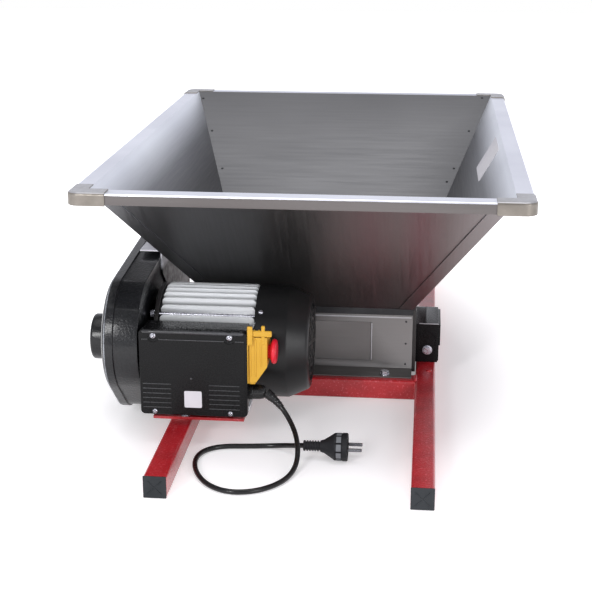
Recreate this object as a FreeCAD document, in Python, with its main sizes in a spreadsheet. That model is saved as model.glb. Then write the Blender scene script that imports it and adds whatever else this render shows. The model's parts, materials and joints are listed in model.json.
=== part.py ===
# Motorised two-roller grape crusher: a sheet-metal hopper over a box with a pair of
# contra-rotating lobed rollers, driven by a single-phase motor through a V-belt and a gear,
# all standing on two long square-tube rails that rest across a vat.
#
# Frame of the part: millimetres, +Z up, -Y the side with the motor, origin on the floor
# under the middle of the hopper.
import FreeCAD, Part
import Sketcher
import math
import os
import re
from FreeCAD import Placement, Rotation, Vector

doc = FreeCAD.newDocument("grape_crusher")
sheet = doc.addObject("Spreadsheet::Sheet", "Sizes")

# ---------------------------------------------------------------- driving dimensions
sizes = {
    # frame
    "rail_length": 1166, "rail_size": 30, "rail_wall": 2, "rail_clear": 1, "crossbar_reach": 35,
    "cap_plate": 2, "cap_plug": 15, "cap_peak": 1.5,
    # roller box
    "box_half": 147, "box_front": -170, "box_rear": 40, "box_foot": 2, "box_top": 117,
    "wall_sheet": 2, "top_turn": 12, "foot_reach": 39, "panel_half": 85, "panel_low": 42.5,
    "panel_high": 105.5, "panel_depth": 1, "side_plate": 5, "side_low": 27, "side_high": 125,
    "guide_sheet": 1.5, "guide_drop": 38, "guide_reach": 36.5, "guide_gap": 2,
    # hopper
    "rim_width": 600, "rim_depth": 900, "front_rise": 233, "front_run": 258, "rim_flange": 22,
    "rim_band": 15,
    "rim_return": 7, "rim_radius": 15, "rim_bend": 3, "hopper_sheet": 1.5, "collar_top": 127,
    "seam_strip": 18, "corner_arm": 50, "corner_sheet": 1.5,
    # rollers and timing gears
    "roller_height": 59.2, "roller_front": -101, "roller_gap": 5, "roller_lobe": 4.5,
    "roller_lobes": 6, "roller_end_play": 5, "shaft_radius": 10, "running_gap": 0.05,
    "bush_radius": 14, "bush_flange": 17, "bush_flange_width": 3, "bush_sink": 3, "tooth_module": 2,
    "timing_teeth": 26, "timing_play": 2, "timing_width": 22, "cover_wall": 2.5, "cover_room": 7,
    "cover_front": -133, "cover_top": 92, "cover_round": 32, "tooth_play": 0.06, "shaft_clear": 1.5,
    "shaft_stub": 8, "cover_rib": 4, "cover_raised": 34, "cover_strip": 24, "cover_bolt_z": 50,
    "cover_arch": 12, "cover_arch_depth": 1, "cover_arch_low": 48, "cover_arch_high": 67,
    # drive train
    "pinion_teeth": 20, "roller_gear_teeth": 52, "layshaft_angle": 120, "gear_shift": 88,
    "gear_width": 13, "belt_shift": 99, "belt_width": 9, "belt_thick": 7.5, "pulley_width": 16,
    "big_pulley": 98, "small_pulley": 26, "groove_top": 13.5, "pulley_rim": 6, "pulley_web": 3,
    "pulley_hub": 9, "pulley_holes": 5, "pulley_hole": 19, "pulley_hole_circle": 52,
    "groove_play": 0.3, "web_holes": 5, "web_hole": 9, "web_circle": 32, "shaft_end": 3,
    "bearing_radius": 24, "bearing_width": 15, "bracket_sheet": 3, "bracket_shift": 70,
    "bracket_top": 230, "bracket_front": -190, "bracket_rear": -30, "bracket_shoulder": 150,
    "bracket_shelf_front": -245, "bracket_shelf_rear": -60, "bracket_knee": 195,
    "bracket_shelf": 33, "bracket_foot_inset": 5, "bracket_hole_play": 2,
    # belt and gear casing
    "parting_shift": 106, "casing_shift": 139, "casing_wall": 2.5, "casing_lip": 2.5,
    "casing_lip_width": 2, "boss_radius": 36, "boss_rise": 21, "boss_height": 111, "boss_step": 46,
    "boss_step_reach": 6, "boss_round": 5, "casing_play": 7.5, "casing_gear_play": 3,
    "casing_nose_shift": 42, "casing_nose_lift": 19, "casing_nose_radius": 81,
    "casing_sump_drop": 21, "casing_sump_radius": 79,
    # motor
    "motor_y": -294, "motor_height": 80, "motor_shift": 53, "motor_length": 137, "motor_shell": 70,
    "motor_bore": 62, "fin_radius": 80, "fin_thick": 4, "fin_pitch": 11.6, "fins_above": 13,
    "fins_behind": 7, "fin_inset": 2,
    "fin_round": 6, "leg_thick": 12, "leg_shift": 14, "motor_shaft": 9.5,
    "rotor_radius": 37.5, "stator_bore": 38, "feet_x": 100, "feet_y": 125, "foot_pad": 8,
    "foot_length": 22, "foot_width": 26, "base_plate": 4, "base_margin": 2, "base_short": 12,
    "base_front": -398, "base_rear": -210, "shield_depth": 16, "motor_bearing": 20,
    "shield_width": 9, "shield_rim": 6, "shield_play": 0.1, "rotor_reach": 38, "fan_gap": 18, "fan_disc": 3,
    "fan_hub": 16, "fan_hub_width": 18, "fan_blade": 2.5, "fan_blade_width": 17, "fan_radius": 60,
    "fan_blades": 8, "fan_cover_length": 73, "fan_cover_sheet": 1.5, "fan_cover_nose": 66,
    "fan_cover_straight": 43, "fan_cover_round": 8, "fan_slots": 4, "fan_slot": 8,
    "fan_slot_step": 12, "fan_slot_bar": 5, "fan_slot_bars": 6, "tie_rod": 2.5, "tie_circle": 74,
    "tie_nut": 5, "tie_nut_width": 6,
    # junction box
    "jbox_overhang": 14, "jbox_width": 144, "jbox_front": -422, "jbox_back": -368, "jbox_low": 46,
    "jbox_lid_top": 161, "jbox_top": 169, "jbox_wall": 3, "lid_depth": 13, "gasket": 1,
    "jbox_inset": 2, "lid_round": 4, "screw_inset": 20,
    # emergency switch
    "switch_y": -397.5, "switch_width": 44, "switch_low": 86, "switch_high": 169, "switch_plate": 5,
    "module_width": 34, "module_depth": 10, "module_low": 94, "module_high": 156, "flap_depth": 30,
    "flap_wall": 2, "flap_low": 88, "flap_high": 162, "flap_nose_depth": 15, "hinge_depth": 9,
    "hinge_z": 166, "hinge_pin": 1.5, "hinge_barrel": 3.5, "stop_z": 134, "start_z": 108,
    "button_radius": 7, "button_face_depth": 18.6, "button_tail_depth": 8.5, "mushroom_radius": 18,
    "mushroom_stem": 9, "mushroom_depth": 41.5, "mushroom_back_depth": 33.5, "stem_depth": 19.1,
    # cable
    "gland_y": -395, "gland_z": 74, "gland_radius": 10, "gland_length": 28, "cord_radius": 3.5,
    "plug_y": -445, "plug_z": 19, "plug_start": 8, "plug_radius": 19, "plug_end": 67,
    "pin_radius": 2.4, "pin_spacing": 19, "pin_length": 19,
    # fasteners
    "bolt_radius": 4, "bolt_head": 6.5, "bolt_head_height": 5.3, "screw_radius": 4.5,
    "foot_bolt_x": 107, "foot_bolt_reach": 27, "base_bolt_shift": 42, "base_bolt_inset": 8,
    "bracket_bolt_inset": 25,
}
# places that follow from the sizes; the drive is measured outward from the left side plate
places = {
    # the front wall keeps its slope over the motor, so a deeper rim also stands higher
    "rim_top": "collar_top + (rim_depth / 2 - rim_flange + box_front) * front_rise / front_run",
    "rail_offset": "box_half + side_plate + rail_clear + rail_size / 2",
    "crossbar_front": "box_front - crossbar_reach", "crossbar_rear": "box_rear + crossbar_reach",
    "roller_pitch": "tooth_module * timing_teeth", "roller_mean": "(roller_pitch - roller_gap) / 2",
    "roller_half": "box_half - roller_end_play", "drive_side": "-box_half - side_plate",
    "timing_start": "box_half + side_plate + bush_flange_width + timing_play",
    "cover_out": "timing_start + timing_width + cover_room",
    "gear_left": "drive_side - gear_shift", "belt_middle": "drive_side - belt_shift",
    "bracket_face": "drive_side - bracket_shift", "casing_back": "bracket_face",
    "casing_parting": "drive_side - parting_shift", "casing_out": "drive_side - casing_shift",
    "boss_out": "casing_out - boss_rise",
    "motor_z": "rail_size + base_plate + motor_height",
    "motor_left": "drive_side - motor_shift", "motor_right": "motor_left + motor_length",
    "base_left": "motor_left - base_margin", "base_right": "motor_right - base_short",
    "base_bolt_x": "motor_left + base_bolt_shift", "shield_out": "motor_left - shield_depth",
    "rotor_end": "motor_right + rotor_reach", "fan_left": "motor_right + fan_gap",
    "fan_cover_end": "motor_right + fan_cover_length",
    "fan_cover_shoulder": "motor_right + fan_cover_straight",
    "jbox_left": "motor_left - jbox_overhang", "jbox_right": "jbox_left + jbox_width",
    "flap_out": "jbox_right + flap_depth", "flap_nose": "jbox_right + flap_nose_depth",
    "hinge_x": "jbox_right + hinge_depth", "button_face": "jbox_right + button_face_depth",
    "button_tail": "jbox_right + button_tail_depth",
    "mushroom_out": "jbox_right + mushroom_depth",
    "mushroom_back": "jbox_right + mushroom_back_depth", "stem_end": "jbox_right + stem_depth",
    "gland_end": "jbox_right + gland_length",
}
for row, (name, value) in enumerate(sizes.items(), 1):
    sheet.set("A%d" % row, name)
    sheet.set("B%d" % row, str(value))
    sheet.setAlias("B%d" % row, name)
doc.recompute()


def cells(text):
    """A formula in plain names, written for the spreadsheet."""
    def written(word):
        name = word.group()
        if name in places:
            return "(%s)" % cells(places[name])
        return "Sizes." + name if name in sizes else name

    return re.sub(r"[a-z][a-z_]*", written, str(text))


def number(text):
    """The present value of a formula in plain names."""
    answer = sheet.evalExpression(cells(text))
    return float(getattr(answer, "Value", answer))


# ---------------------------------------------------------------- ways of making a piece
made = []


def keep(piece, label):
    """Name a finished piece: its label names its file."""
    piece.Label = label
    made.append(piece)
    return piece


def body(label):
    return keep(doc.addObject("PartDesign::Body", label), label)


def sketch(owner, role, offset="0"):
    """An empty sketch on one of the body's own planes, shifted along its normal."""
    page = owner.newObject("Sketcher::SketchObject", owner.Name + "_sketch")
    plane = [item for item in owner.Origin.OriginFeatures if item.Role == role][0]
    page.AttachmentSupport = (plane, "")
    page.MapMode = "FlatFace"
    page.setExpression("AttachmentOffset.Base.z", cells(offset))
    return page


def fix(page, kind, line, end, text):
    """Bind one coordinate or radius of the sketch to a formula."""
    if kind == "Radius":
        rule = Sketcher.Constraint(kind, line, number(text))
    else:
        rule = Sketcher.Constraint(kind, -1, 1, line, end, number(text))
    page.setExpression("Constraints[%d]" % page.addConstraint(rule), cells(text))


def outline(page, corners):
    """A closed straight-sided outline whose corners are formulas."""
    first = page.GeometryCount
    spots = [Vector(number(across), number(up), 0) for across, up in corners]
    for start, end in zip(spots, spots[1:] + spots[:1]):
        page.addGeometry(Part.LineSegment(start, end))
    for place in range(len(spots)):
        after = first + (place + 1) % len(spots)
        page.addConstraint(Sketcher.Constraint("Coincident", first + place, 2, after, 1))
    for place, (across, up) in enumerate(corners):
        fix(page, "DistanceX", first + place, 1, across)
        fix(page, "DistanceY", first + place, 1, up)


def rectangle(page, left, right, low, high):
    outline(page, [(left, low), (right, low), (right, high), (left, high)])


def circle(page, across, up, radius):
    line = page.addGeometry(Part.Circle(Vector(number(across), number(up), 0),
                                        Vector(0, 0, 1), number(radius)))
    fix(page, "DistanceX", line, 3, across)
    fix(page, "DistanceY", line, 3, up)
    fix(page, "Radius", line, 3, radius)


def pad(owner, page, length, back=False):
    page.Visibility = False
    step = owner.newObject("PartDesign::Pad", owner.Name + "_pad")
    step.Profile = page
    step.setExpression("Length", cells(length))
    step.Reversed = back
    return step


def pocket(owner, page, length, back=False):
    """Cut a sketch into the body and make sure that it really removes material."""
    doc.recompute()
    before = owner.Shape.Volume
    step = owner.newObject("PartDesign::Pocket", owner.Name + "_pocket")
    step.Profile = page
    step.setExpression("Length", cells(length))
    step.Reversed = back
    doc.recompute()
    if owner.Shape.Volume > before - 1e-3:
        raise RuntimeError("pocket cuts nothing: " + owner.Label)
    return step


def turned(label, profile, y, z):
    """A piece turned about an axis along X; the profile is x and radius pairs."""
    owner = body(label)
    page = sketch(owner, "XZ_Plane")
    outline(page, profile)
    page.Visibility = False
    step = owner.newObject("PartDesign::Revolution", label + "_turn")
    step.Profile = page
    step.ReferenceAxis = (page, ["H_Axis"])
    step.Angle = 360
    owner.setExpression("Placement.Base.y", cells(y))
    owner.setExpression("Placement.Base.z", cells(z))
    return owner


def box(name, left, right, front, rear, low, high):
    solid = doc.addObject("Part::Box", name)
    solid.setExpression("Length", cells("(%s) - (%s)" % (right, left)))
    solid.setExpression("Width", cells("(%s) - (%s)" % (rear, front)))
    solid.setExpression("Height", cells("(%s) - (%s)" % (high, low)))
    solid.setExpression("Placement.Base.x", cells(left))
    solid.setExpression("Placement.Base.y", cells(front))
    solid.setExpression("Placement.Base.z", cells(low))
    return solid


def rod(name, left, right, y, z, radius):
    """A cylinder along X."""
    solid = doc.addObject("Part::Cylinder", name)
    solid.setExpression("Radius", cells(radius))
    solid.setExpression("Height", cells("(%s) - (%s)" % (right, left)))
    solid.Placement.Rotation = Rotation(Vector(0, 1, 0), 90)
    solid.setExpression("Placement.Base.x", cells(left))
    solid.setExpression("Placement.Base.y", cells(y))
    solid.setExpression("Placement.Base.z", cells(z))
    return solid


def fuse(name, pieces):
    joined = doc.addObject("Part::MultiFuse", name)
    joined.Shapes = pieces
    joined.Refine = True
    return joined


def cut(name, base, tool):
    left = doc.addObject("Part::Cut", name)
    left.Base = base
    left.Tool = tool
    return left


def group(label, pieces):
    """Identical pieces that share one node as separate solids."""
    gathered = doc.addObject("Part::Compound", label)
    gathered.Links = pieces
    return keep(gathered, label)


def shaped(label, shape):
    """A piece whose form comes from Part's own functions."""
    piece = doc.addObject("Part::Feature", label)
    piece.Shape = shape
    return keep(piece, label)


# ---------------------------------------------------------------- frame
def make_rail(label, middle):
    """A square tube along Y that rests on the floor or on the rim of a vat."""
    owner = body(label)
    page = sketch(owner, "XZ_Plane", "-rail_length / 2")
    half = "rail_size / 2"
    inner = "(rail_size / 2 - rail_wall)"
    rectangle(page, middle + " - " + half, middle + " + " + half, "0", "rail_size")
    rectangle(page, middle + " - " + inner, middle + " + " + inner,
              "rail_wall", "rail_size - rail_wall")
    pad(owner, page, "rail_length")
    return owner


def make_crossbars():
    """Two square tubes welded between the rails, before and behind the roller box."""
    bars = []
    for place, middle in (("front", "crossbar_front"), ("rear", "crossbar_rear")):
        edge = "(rail_offset - rail_size / 2)"
        skin = box("crossbar_%s_skin" % place, "-" + edge, edge, middle + " - rail_size / 2",
                   middle + " + rail_size / 2", "0", "rail_size")
        hollow = box("crossbar_%s_hollow" % place, "-" + edge, edge,
                     middle + " - rail_size / 2 + rail_wall",
                     middle + " + rail_size / 2 - rail_wall", "rail_wall",
                     "rail_size - rail_wall")
        bars.append(cut("crossbar_" + place, skin, hollow))
    return group("crossbars", bars)


def make_end_cap(name, middle, end):
    """A moulded plug: flat cover, low four-sided peak and a foot inside the tube."""
    size, wall = number("rail_size"), number("rail_wall")
    half, play = size / 2, 0.2
    face = number("rail_length") / 2
    cover = Part.makeBox(size, number("cap_plate"), size, Vector(-half, face, 0))
    reach = size - 2 * (wall + play)
    foot = Part.makeBox(reach, number("cap_plug"), reach,
                        Vector(-reach / 2, face - number("cap_plug"), wall + play))
    outer = face + number("cap_plate")
    square = [Vector(-half + 2, outer, 2), Vector(half - 2, outer, 2),
              Vector(half - 2, outer, size - 2), Vector(-half + 2, outer, size - 2)]
    peak = Vector(0, outer + number("cap_peak"), half)
    faces = [Part.Face(Part.makePolygon(square + square[:1]))]
    for start, stop in zip(square, square[1:] + square[:1]):
        faces.append(Part.Face(Part.makePolygon([start, stop, peak, start])))
    pyramid = Part.Solid(Part.makeShell(faces))
    cap = cover.fuse([foot, pyramid]).removeSplitter()
    turn = Placement(Vector(middle, 0, 0), Rotation(Vector(0, 0, 1), 0 if end > 0 else 180))
    piece = doc.addObject("Part::Feature", name)
    piece.Shape = cap
    piece.Placement = turn
    return piece


make_rail("rail_left", "-rail_offset")
make_rail("rail_right", "rail_offset")
make_crossbars()
group("rail_end_caps", [
    make_end_cap("cap_%d_%d" % (side, end), side * number("rail_offset"), end)
    for side in (-1, 1) for end in (-1, 1)])


# ---------------------------------------------------------------- roller box
def make_box_wall(label, face, way):
    """A bent sheet: foot on the crossbar, wall with a pressed panel, top turned inward."""
    owner = body(label)
    page = sketch(owner, "YZ_Plane", "-box_half")
    step = lambda text: "%s + (%s) * %s" % (face, text, way)
    outline(page, [
        (step("-foot_reach"), "rail_size"), (step("wall_sheet"), "rail_size"),
        (step("wall_sheet"), "box_top - wall_sheet"), (step("top_turn"), "box_top - wall_sheet"),
        (step("top_turn"), "box_top"), (face, "box_top"),
        (face, "rail_size + box_foot"), (step("-foot_reach"), "rail_size + box_foot")])
    pad(owner, page, "2 * box_half")
    back = way == "-1"
    press = sketch(owner, "XZ_Plane", "-(%s)" % step("wall_sheet"))
    rectangle(press, "-panel_half", "panel_half", "panel_low", "panel_high")
    pad(owner, press, "panel_depth", not back)
    dent = sketch(owner, "XZ_Plane", "-(%s)" % face)
    rectangle(dent, "-(panel_half - panel_depth)", "panel_half - panel_depth",
              "panel_low + panel_depth", "panel_high - panel_depth")
    pocket(owner, dent, "panel_depth", back)
    return owner


def make_side_plate(label, way):
    """A thick plate that carries both roller shafts in bushes."""
    owner = body(label)
    inner = "box_half" if way > 0 else "-box_half"
    page = sketch(owner, "YZ_Plane", inner)
    rectangle(page, "box_front", "box_rear", "side_low", "side_high")
    for middle in ("roller_front", "roller_front + roller_pitch"):
        circle(page, middle, "roller_height", "bush_radius")
    pad(owner, page, "side_plate", way < 0)
    return owner


def make_guide_plate(name, face, way):
    """A sheet inside the box wall that turns in to lead the fruit onto the roller."""
    width = number("box_half") - number("guide_gap")
    sheet_thick = number("guide_sheet")
    start = number(face) + way * (number("wall_sheet") + number("panel_depth"))
    high = number("box_top") - number("wall_sheet") - 1
    low = high - number("guide_drop") + 13
    reach, drop = number("guide_reach"), number("guide_drop")
    slope = math.hypot(reach, drop)
    lift = sheet_thick * slope / reach
    corners = [(0, low), (0, high), (sheet_thick, high), (reach + 1.5, high - drop),
               (reach + 1.5, high - drop - lift), (sheet_thick, high - lift - sheet_thick),
               (sheet_thick, low)]
    spots = [Vector(-width, start + way * across, up) for across, up in corners]
    face_shape = Part.Face(Part.makePolygon(spots + spots[:1]))
    piece = doc.addObject("Part::Feature", name)
    piece.Shape = face_shape.extrude(Vector(2 * width, 0, 0))
    return piece


make_box_wall("box_front_wall", "box_front", "1")
make_box_wall("box_rear_wall", "box_rear", "-1")
make_side_plate("side_plate_left", -1)
make_side_plate("side_plate_right", 1)
group("guide_plates", [make_guide_plate("guide_front", "box_front", 1),
                       make_guide_plate("guide_rear", "box_rear", -1)])


# ---------------------------------------------------------------- hopper
class Plane:
    """A plane as a unit normal and its distance from the origin."""

    def __init__(self, normal, spot):
        self.normal = Vector(normal).normalize()
        self.reach = self.normal.dot(Vector(spot))

    def shifted(self, outward):
        return Plane(self.normal, self.normal * (self.reach + outward))


def meet(first, second, third):
    """The point that three planes share."""
    a, b, c = first.normal, second.normal, third.normal
    top = b.cross(c) * first.reach + c.cross(a) * second.reach + a.cross(b) * third.reach
    return top * (1 / a.dot(b.cross(c)))


def between(*pairs):
    """The solid between three pairs of planes."""
    spot = {(i, j, k): meet(pairs[0][i], pairs[1][j], pairs[2][k])
            for i in (0, 1) for j in (0, 1) for k in (0, 1)}
    ring = ((0, 0), (1, 0), (1, 1), (0, 1))
    faces = []
    for side in (0, 1):
        for order in (lambda i, j: (side, i, j), lambda i, j: (i, side, j),
                      lambda i, j: (i, j, side)):
            corners = [spot[order(i, j)] for i, j in ring]
            faces.append(Part.Face(Part.makePolygon(corners + corners[:1])))
    solid = Part.Solid(Part.makeShell(faces))
    if solid.Volume < 0:
        solid.reverse()
    return solid


def level(height):
    return Plane((0, 0, 1), (0, 0, height))


def make_hopper():
    """Four bent sheets: sloping wall, collar round the throat, flange and hanging band."""
    thick, top, low = number("hopper_sheet"), number("rim_top"), number("collar_top")
    half_x, half_y = number("rim_width") / 2, number("rim_depth") / 2
    flange, band, turn = number("rim_flange"), number("rim_band"), number("rim_return")
    mouth_x, mouth_y = half_x - flange, half_y - flange
    throat = number("box_half")
    ends = {"right": throat, "left": -throat, "rear": number("box_rear"),
            "front": number("box_front")}
    outer = {"right": half_x, "left": -half_x, "rear": half_y, "front": -half_y}
    mouth = {"right": mouth_x, "left": -mouth_x, "rear": mouth_y, "front": -mouth_y}
    slope = {}
    for side in ends:
        across = abs(mouth[side] - ends[side])
        way = 1 if outer[side] > 0 else -1
        if side in ("right", "left"):
            slope[side] = Plane((way * (top - low), 0, -across), (mouth[side], 0, top))
        else:
            slope[side] = Plane((0, way * (top - low), -across), (0, mouth[side], top))

    def upright(side, inward=0.0):
        way = 1 if outer[side] > 0 else -1
        place = outer[side] - way * inward
        along = Vector(way, 0, 0) if side in ("right", "left") else Vector(0, way, 0)
        return Plane(along, along * abs(place))

    def collar_face(side, inward=0.0):
        way = 1 if outer[side] > 0 else -1
        along = Vector(way, 0, 0) if side in ("right", "left") else Vector(0, way, 0)
        return Plane(along, along * (way * ends[side] - inward))

    corner_radius = number("rim_radius")
    plan = Part.makeBox(2 * half_x, 2 * half_y, top, Vector(-half_x, -half_y, 0))
    plan = plan.makeFillet(corner_radius, [edge for edge in plan.Edges
                                           if abs(edge.tangentAt(edge.FirstParameter).z) > 0.9])
    plan = plan.makeFillet(number("rim_bend"), [edge for edge in plan.Edges
                                                if edge.BoundBox.ZMin > top - 0.1])
    side_sheets = []
    for side in ("left", "right", "front", "rear"):
        along_x = side in ("front", "rear")
        sides = ("left", "right") if along_x else ("front", "rear")
        mitres = []
        for other in sides:
            corner = Vector(outer[other] if along_x else outer[side],
                            outer[side] if along_x else outer[other], 0)
            way = Vector(math.copysign(1, corner.x), -math.copysign(1, corner.y), 0)
            mitres.append(Plane(way if along_x else way * -1, corner))
        if along_x:
            ends_of_wall = [slope[other].shifted(-thick) for other in sides]
        else:
            ends_of_wall = [slope[other].shifted(thick) for other in sides]
        wall = between((slope[side], slope[side].shifted(-thick)), ends_of_wall,
                       (level(top), level(low)))
        rim = [between((upright(side), upright(side, flange + thick)), mitres,
                       (level(top), level(top - thick))),
               between((upright(side), upright(side, thick)), mitres,
                       (level(top), level(top - band))),
               between((upright(side), upright(side, turn)), mitres,
                       (level(top - band + thick), level(top - band)))]
        collar_ends = [collar_face(other, thick if along_x else 0) for other in sides]
        collar = between((collar_face(side), collar_face(side, thick)), collar_ends,
                         (level(low), level(number("box_top"))))
        pieces = [piece.common(plan) for piece in rim] + [collar]
        if not along_x:
            strip = number("seam_strip")
            for other in sides:
                pieces.append(between(
                    (slope[other].shifted(thick), slope[other]),
                    (slope[side].shifted(-thick), slope[side].shifted(-thick - strip)),
                    (level(top - thick), level(low))))
        bent = wall.fuse(pieces)
        if along_x:
            bent = bent.cut(side_sheets)
        else:
            side_sheets.append(bent)
        shaped("hopper_" + side, bent.removeSplitter())


def make_rim_corner(name, way_x, way_y):
    """A pressed cap that closes the rim where two sheets meet."""
    thick, arm = number("corner_sheet"), number("corner_arm")
    half_x, half_y = number("rim_width") / 2, number("rim_depth") / 2
    top, band = number("rim_top"), number("rim_band")
    radius, flange = number("rim_radius"), number("rim_flange")

    def block(outward, low, high, length):
        solid = Part.makeBox(length + outward, length + outward, high - low,
                             Vector(half_x - length, half_y - length, low))
        edge = [e for e in solid.Edges if abs(e.tangentAt(e.FirstParameter).z) > 0.9
                and e.BoundBox.XMin > half_x - 1 and e.BoundBox.YMin > half_y - 1]
        solid = solid.makeFillet(radius + outward, edge)
        brim = [e for e in solid.Edges if e.BoundBox.ZMin > high - 0.1
                and e.BoundBox.XMax > half_x - length + 0.1
                and e.BoundBox.YMax > half_y - length + 0.1]
        return solid.makeFillet(number("rim_bend") + outward, brim)

    cap = block(thick, top - band - thick, top + thick, arm)
    cap = cap.cut(block(0, top - band - 2 * thick, top, arm))
    inside = arm - flange - 2
    cap = cap.cut(Part.makeBox(inside, inside, 3 * band,
                               Vector(half_x - arm, half_y - arm, top - band)))
    if way_x < 0:
        cap = cap.mirror(Vector(0, 0, 0), Vector(1, 0, 0))
    if way_y < 0:
        cap = cap.mirror(Vector(0, 0, 0), Vector(0, 1, 0))
    piece = doc.addObject("Part::Feature", name)
    piece.Shape = cap
    return piece


make_hopper()
group("rim_corners", [make_rim_corner("corner_%d_%d" % (x, y), x, y)
                      for x in (-1, 1) for y in (-1, 1)])


# ---------------------------------------------------------------- turning parts
along_x = Rotation(Vector(0, 1, 0), Vector(0, 0, 1), Vector(1, 0, 0))


def gear(label, teeth, phase, left, width, y, z, holes=0):
    """A spur gear with involute teeth; one tooth points along the phase angle."""
    size, play = number("tooth_module"), number("tooth_play")
    pitch = size * teeth / 2
    base = pitch * math.cos(math.radians(20))
    tip, root = pitch + size, pitch - 1.25 * size

    def spread(radius):
        roll = math.sqrt(max((radius / base) ** 2 - 1, 0))
        return roll - math.atan(roll)

    half = math.pi / 2 / teeth + spread(pitch) - play / pitch
    flank = [base + (tip - base) * step / 3 for step in range(4)]
    corners = []
    for tooth in range(teeth):
        middle = math.radians(phase) + 2 * math.pi * tooth / teeth
        side = [(root, half)] + [(radius, half - spread(radius)) for radius in flank]
        for radius, turn in [(r, -a) for r, a in side] + side[::-1]:
            corners.append(Vector(radius * math.cos(middle + turn),
                                  radius * math.sin(middle + turn), 0))
    blank = Part.Face(Part.makePolygon(corners + corners[:1])).extrude(Vector(0, 0, width))
    bore = Part.makeCylinder(number("shaft_radius"), width)
    wheel = blank.cut(bore)
    for place in range(holes):
        hole = Part.makeCylinder(number("web_hole"), width, Vector(number("web_circle"), 0, 0))
        hole.rotate(Vector(0, 0, 0), Vector(0, 0, 1), 360 * place / holes)
        wheel = wheel.cut(hole)
    piece = shaped(label, wheel)
    piece.Placement = Placement(Vector(left, y, z), along_x)
    return piece


def lobed_roller(label, y, phase):
    """A cast roller with rounded lobes that grip the berries without cutting the pips."""
    mean, lobe, count = number("roller_mean"), number("roller_lobe"), int(number("roller_lobes"))
    half = number("roller_half")
    quarter = math.pi / (2 * count)

    def spot(step):
        radius = mean + lobe * math.cos(math.pi * step / 2)
        turn = phase + quarter * step
        return Vector(radius * math.cos(turn), radius * math.sin(turn), 0)

    arcs = [Part.Arc(spot(step - 1), spot(step), spot(step + 1)).toShape()
            for step in range(0, 4 * count, 2)]
    drum = Part.Face(Part.Wire(arcs)).extrude(Vector(0, 0, 2 * half))
    drum = drum.cut(Part.makeCylinder(number("shaft_radius"), 2 * half))
    piece = shaped(label, drum)
    piece.Placement = Placement(Vector(-half, y, number("roller_height")), along_x)
    return piece


def pulley(label, radius, bore, y, z, spokes):
    """A V-belt pulley: rim with a groove, web and hub."""
    left, right = "(belt_middle - pulley_width / 2)", "(belt_middle + pulley_width / 2)"
    floor = "(%s - belt_thick - 1)" % radius
    profile = [(left, radius), ("belt_middle - groove_top / 2", radius),
               ("belt_middle - belt_width / 2 - groove_play", floor),
               ("belt_middle + belt_width / 2 + groove_play", floor),
               ("belt_middle + groove_top / 2", radius), (right, radius)]
    if spokes:
        rim, hub = floor + " - pulley_rim", "shaft_radius + pulley_hub"
        profile += [(right, rim), ("belt_middle + pulley_web", rim),
                    ("belt_middle + pulley_web", hub), (right, hub), (right, bore),
                    (left, bore), (left, hub), ("belt_middle - pulley_web", hub),
                    ("belt_middle - pulley_web", rim), (left, rim)]
    else:
        profile += [(right, bore), (left, bore)]
    owner = turned(label, profile, y, z)
    if spokes:
        page = sketch(owner, "YZ_Plane", "belt_middle - pulley_width")
        circle(page, "0", "pulley_hole_circle", "pulley_hole")
        hole = pocket(owner, page, "2 * pulley_width", True)
        ring = owner.newObject("PartDesign::PolarPattern", label + "_holes")
        ring.Originals = [hole]
        ring.Axis = ([item for item in owner.Origin.OriginFeatures if item.Role == "X_Axis"][0], [""])
        ring.setExpression("Occurrences", cells("pulley_holes"))
        owner.Tip = ring
    return owner


roller_y = {"drive": "roller_front", "driven": "(roller_front + roller_pitch)"}
gear_reach = "(pinion_teeth + roller_gear_teeth) * tooth_module / 2"
lay_y = "(roller_front + %s * cos(layshaft_angle * 1 deg))" % gear_reach
lay_z = "(roller_height + %s * sin(layshaft_angle * 1 deg))" % gear_reach
lay_spot = (number(lay_y), number(lay_z))

half_tooth = 180 / number("timing_teeth")
lobe_half = math.pi / number("roller_lobes")
timing = (number("timing_start"), number("timing_width"))
height = number("roller_height")
lobed_roller("drive_roller", number(roller_y["drive"]), 0)
lobed_roller("driven_roller", number(roller_y["driven"]), lobe_half + math.pi)
gear("drive_timing_gear", int(number("timing_teeth")), 0, *timing,
     number(roller_y["drive"]), height)
gear("driven_timing_gear", int(number("timing_teeth")), 180 + half_tooth, *timing,
     number(roller_y["driven"]), height)
for name, start in (("drive", "gear_left - shaft_end"),
                    ("driven", "-(box_half + side_plate + shaft_stub)")):
    stop = "cover_out - cover_wall - shaft_clear"
    turned(name + "_shaft", [(start, "0"), (stop, "0"), (stop, "shaft_radius"),
                             (start, "shaft_radius")], roller_y[name], "roller_height")


def make_bush(name, way, y):
    """A flanged bronze bush pressed into a side plate."""
    edges = ("box_half - bush_sink", "box_half + side_plate + bush_flange_width")
    flange = ("box_half + side_plate", edges[1])
    if way < 0:
        edges = ("-(%s)" % edges[1], "-(%s)" % edges[0])
        flange = (edges[0], "-(%s)" % flange[0])
    sleeve = rod(name + "_sleeve", *edges, y, "roller_height", "bush_radius")
    rim = rod(name + "_rim", *flange, y, "roller_height", "bush_flange")
    bore = rod(name + "_bore", "(%s) - 1" % edges[0], "(%s) + 1" % edges[1], y,
               "roller_height", "shaft_radius + running_gap")
    return cut(name, fuse(name + "_blank", [sleeve, rim]), bore)


group("roller_bushes", [make_bush("bush_%s_%s" % (name, side), way, y)
                        for name, y in roller_y.items() for side, way in (("l", -1), ("r", 1))])


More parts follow.
